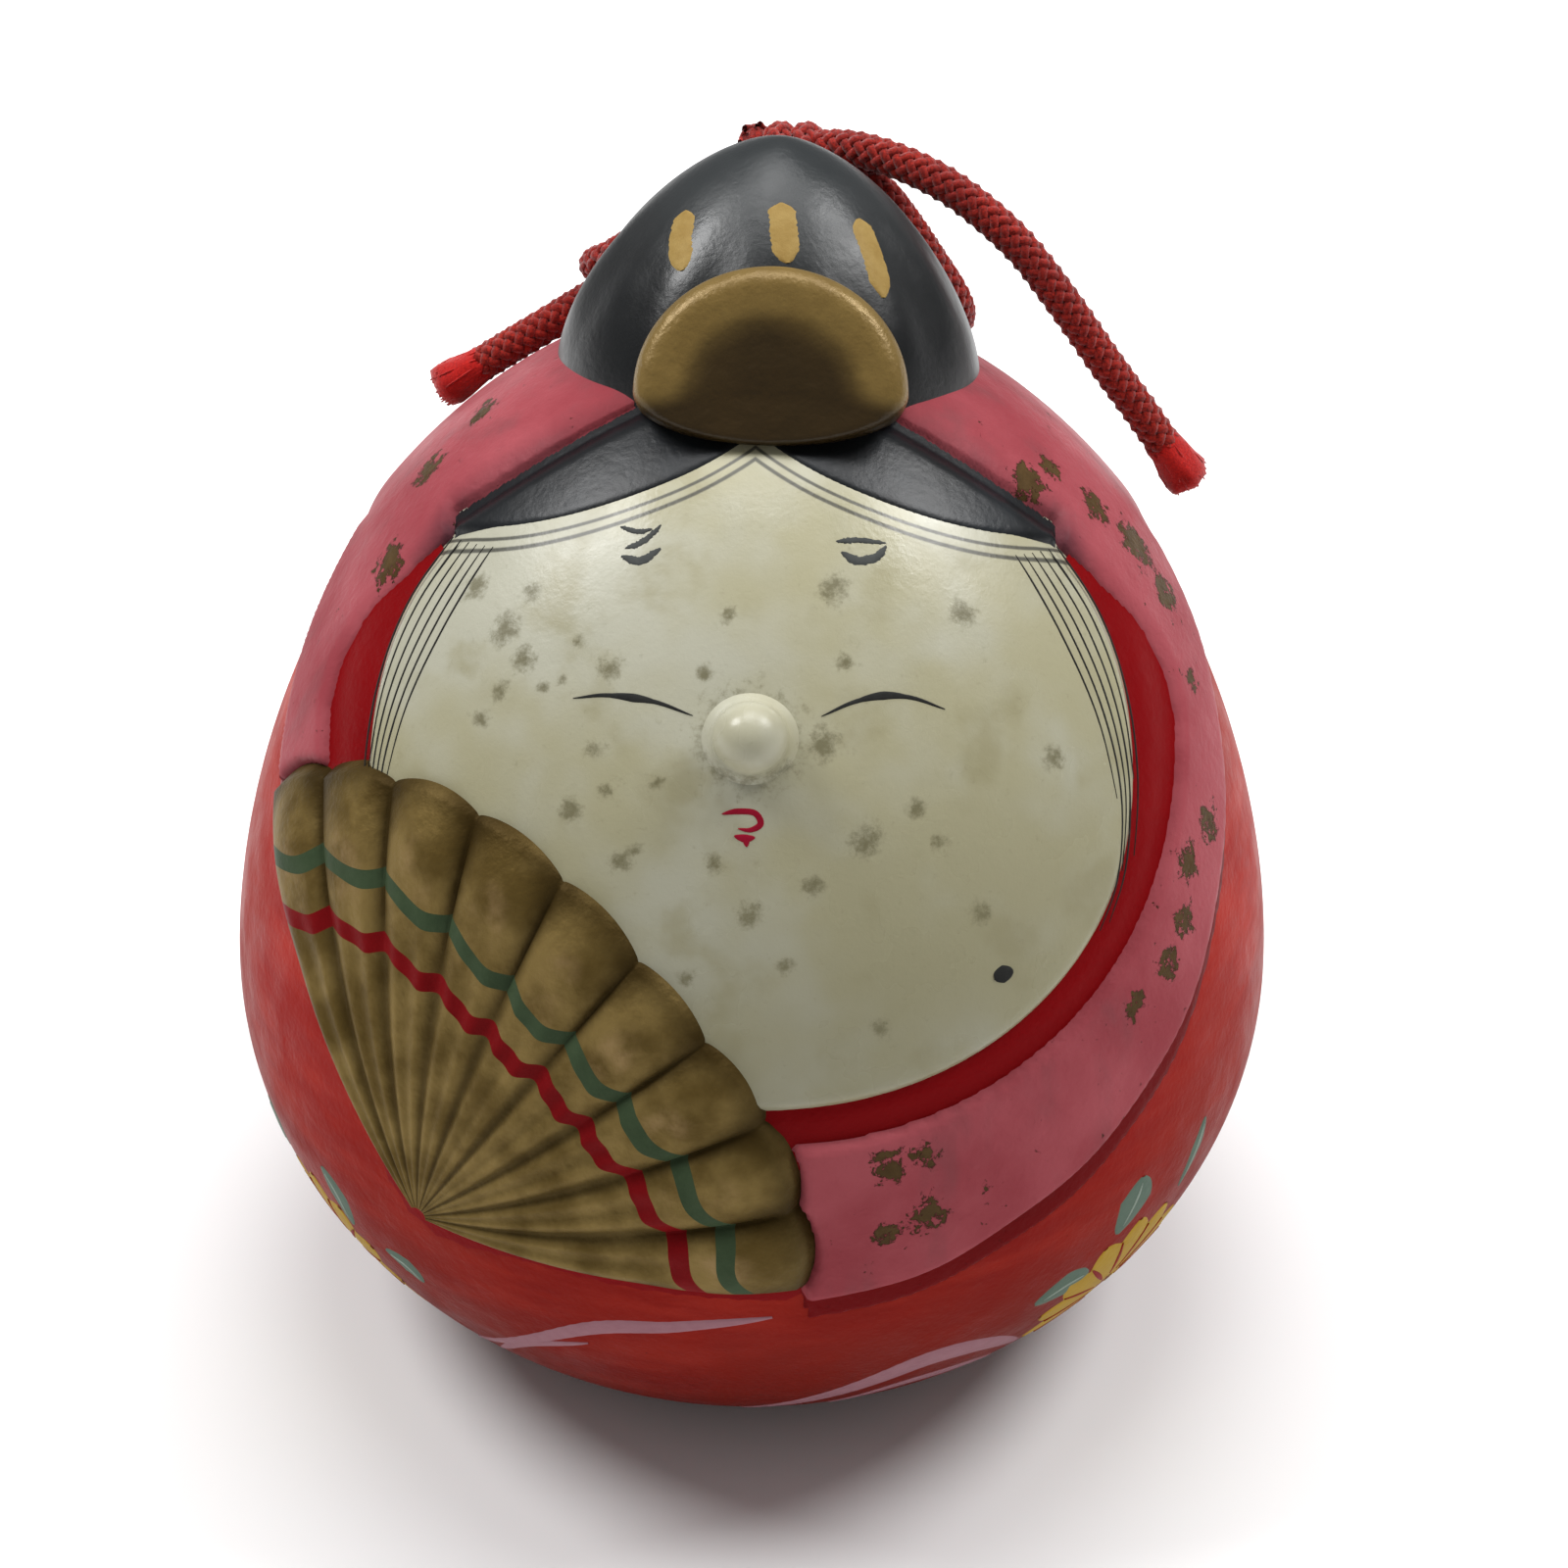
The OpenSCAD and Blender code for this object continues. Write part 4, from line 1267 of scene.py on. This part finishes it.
def add_bun_strokes():
    """Three gold strokes on the front of the bun."""
    def snap(points):
        x, y, z = np.moveaxis(placed(points, BUN_PLACE.inverted()), -1, 0)
        turn = np.arctan2(x, -y)
        r = bun_radius(np.clip(z / BUN_H, 0, 0.99), turn)
        return placed(turned(r, turn, z), BUN_PLACE)
    strokes = Strokes(snap, BUN_PLACE.translation)
    for low, high, width in (((-36, 0.57), (-53, 0.75), 1.8), ((5, 0.64), (2, 0.83), 1.8),
                             ((40, 0.5), (47, 0.76), 1.8)):
        share = np.linspace(low[1], high[1], 4)
        turn = np.radians(np.linspace(low[0], high[0], 4))
        strokes.add(bun_point(share, turn), width, 0.08, (0.25, 0.12), 0.05)
    strokes.make("bun_strokes", STROKE_GOLD, "gold_paint")


add_face_marks()
add_body_flowers()
add_fan_shadow()
add_bun_strokes()

# ---- Floor and light -------------------------------------------------------------------


def add_floor():
    """A plain pale floor."""
    size = 3
    mesh = bpy.data.meshes.new("floor")
    mesh.from_pydata([(x * size, y * size, 0) for x, y in ((-1, -1), (1, -1), (1, 1), (-1, 1))],
                     [], [(0, 1, 2, 3)])
    paint = Paint("floor", 0.9)
    paint.surface.inputs["Base Color"].default_value = (0.93, 0.93, 0.93, 1)
    mesh.materials.append(paint.material)
    floor = bpy.data.objects.new("floor", mesh)
    bpy.context.collection.objects.link(floor)


def add_light(name, place, size, power):
    """A soft panel aimed at the bell."""
    data = bpy.data.lights.new(name, "AREA")
    data.shape = "DISK"
    data.size = size
    data.energy = power
    light = bpy.data.objects.new(name, data)
    light.location = place
    light.rotation_mode = "QUATERNION"
    light.rotation_quaternion = (Vector((0, 0, 0.035)) - Vector(place)).to_track_quat("-Z", "Y")
    bpy.context.collection.objects.link(light)


def add_lights():
    """Three soft panels overhead and a dim white sky."""
    add_light("left", (-0.42, 0.06, 0.6), 0.3, 3.4)
    add_light("right", (0.42, 0.1, 0.6), 0.3, 3.4)
    add_light("over", (0, 0.2, 0.8), 0.5, 3.2)
    world = bpy.data.worlds.new("world")
    world.use_nodes = True
    sky = world.node_tree.nodes["Background"]
    sky.inputs["Color"].default_value = (1, 1, 1, 1)
    sky.inputs["Strength"].default_value = 0.25
    bpy.context.scene.world = world


add_floor()
add_lights()
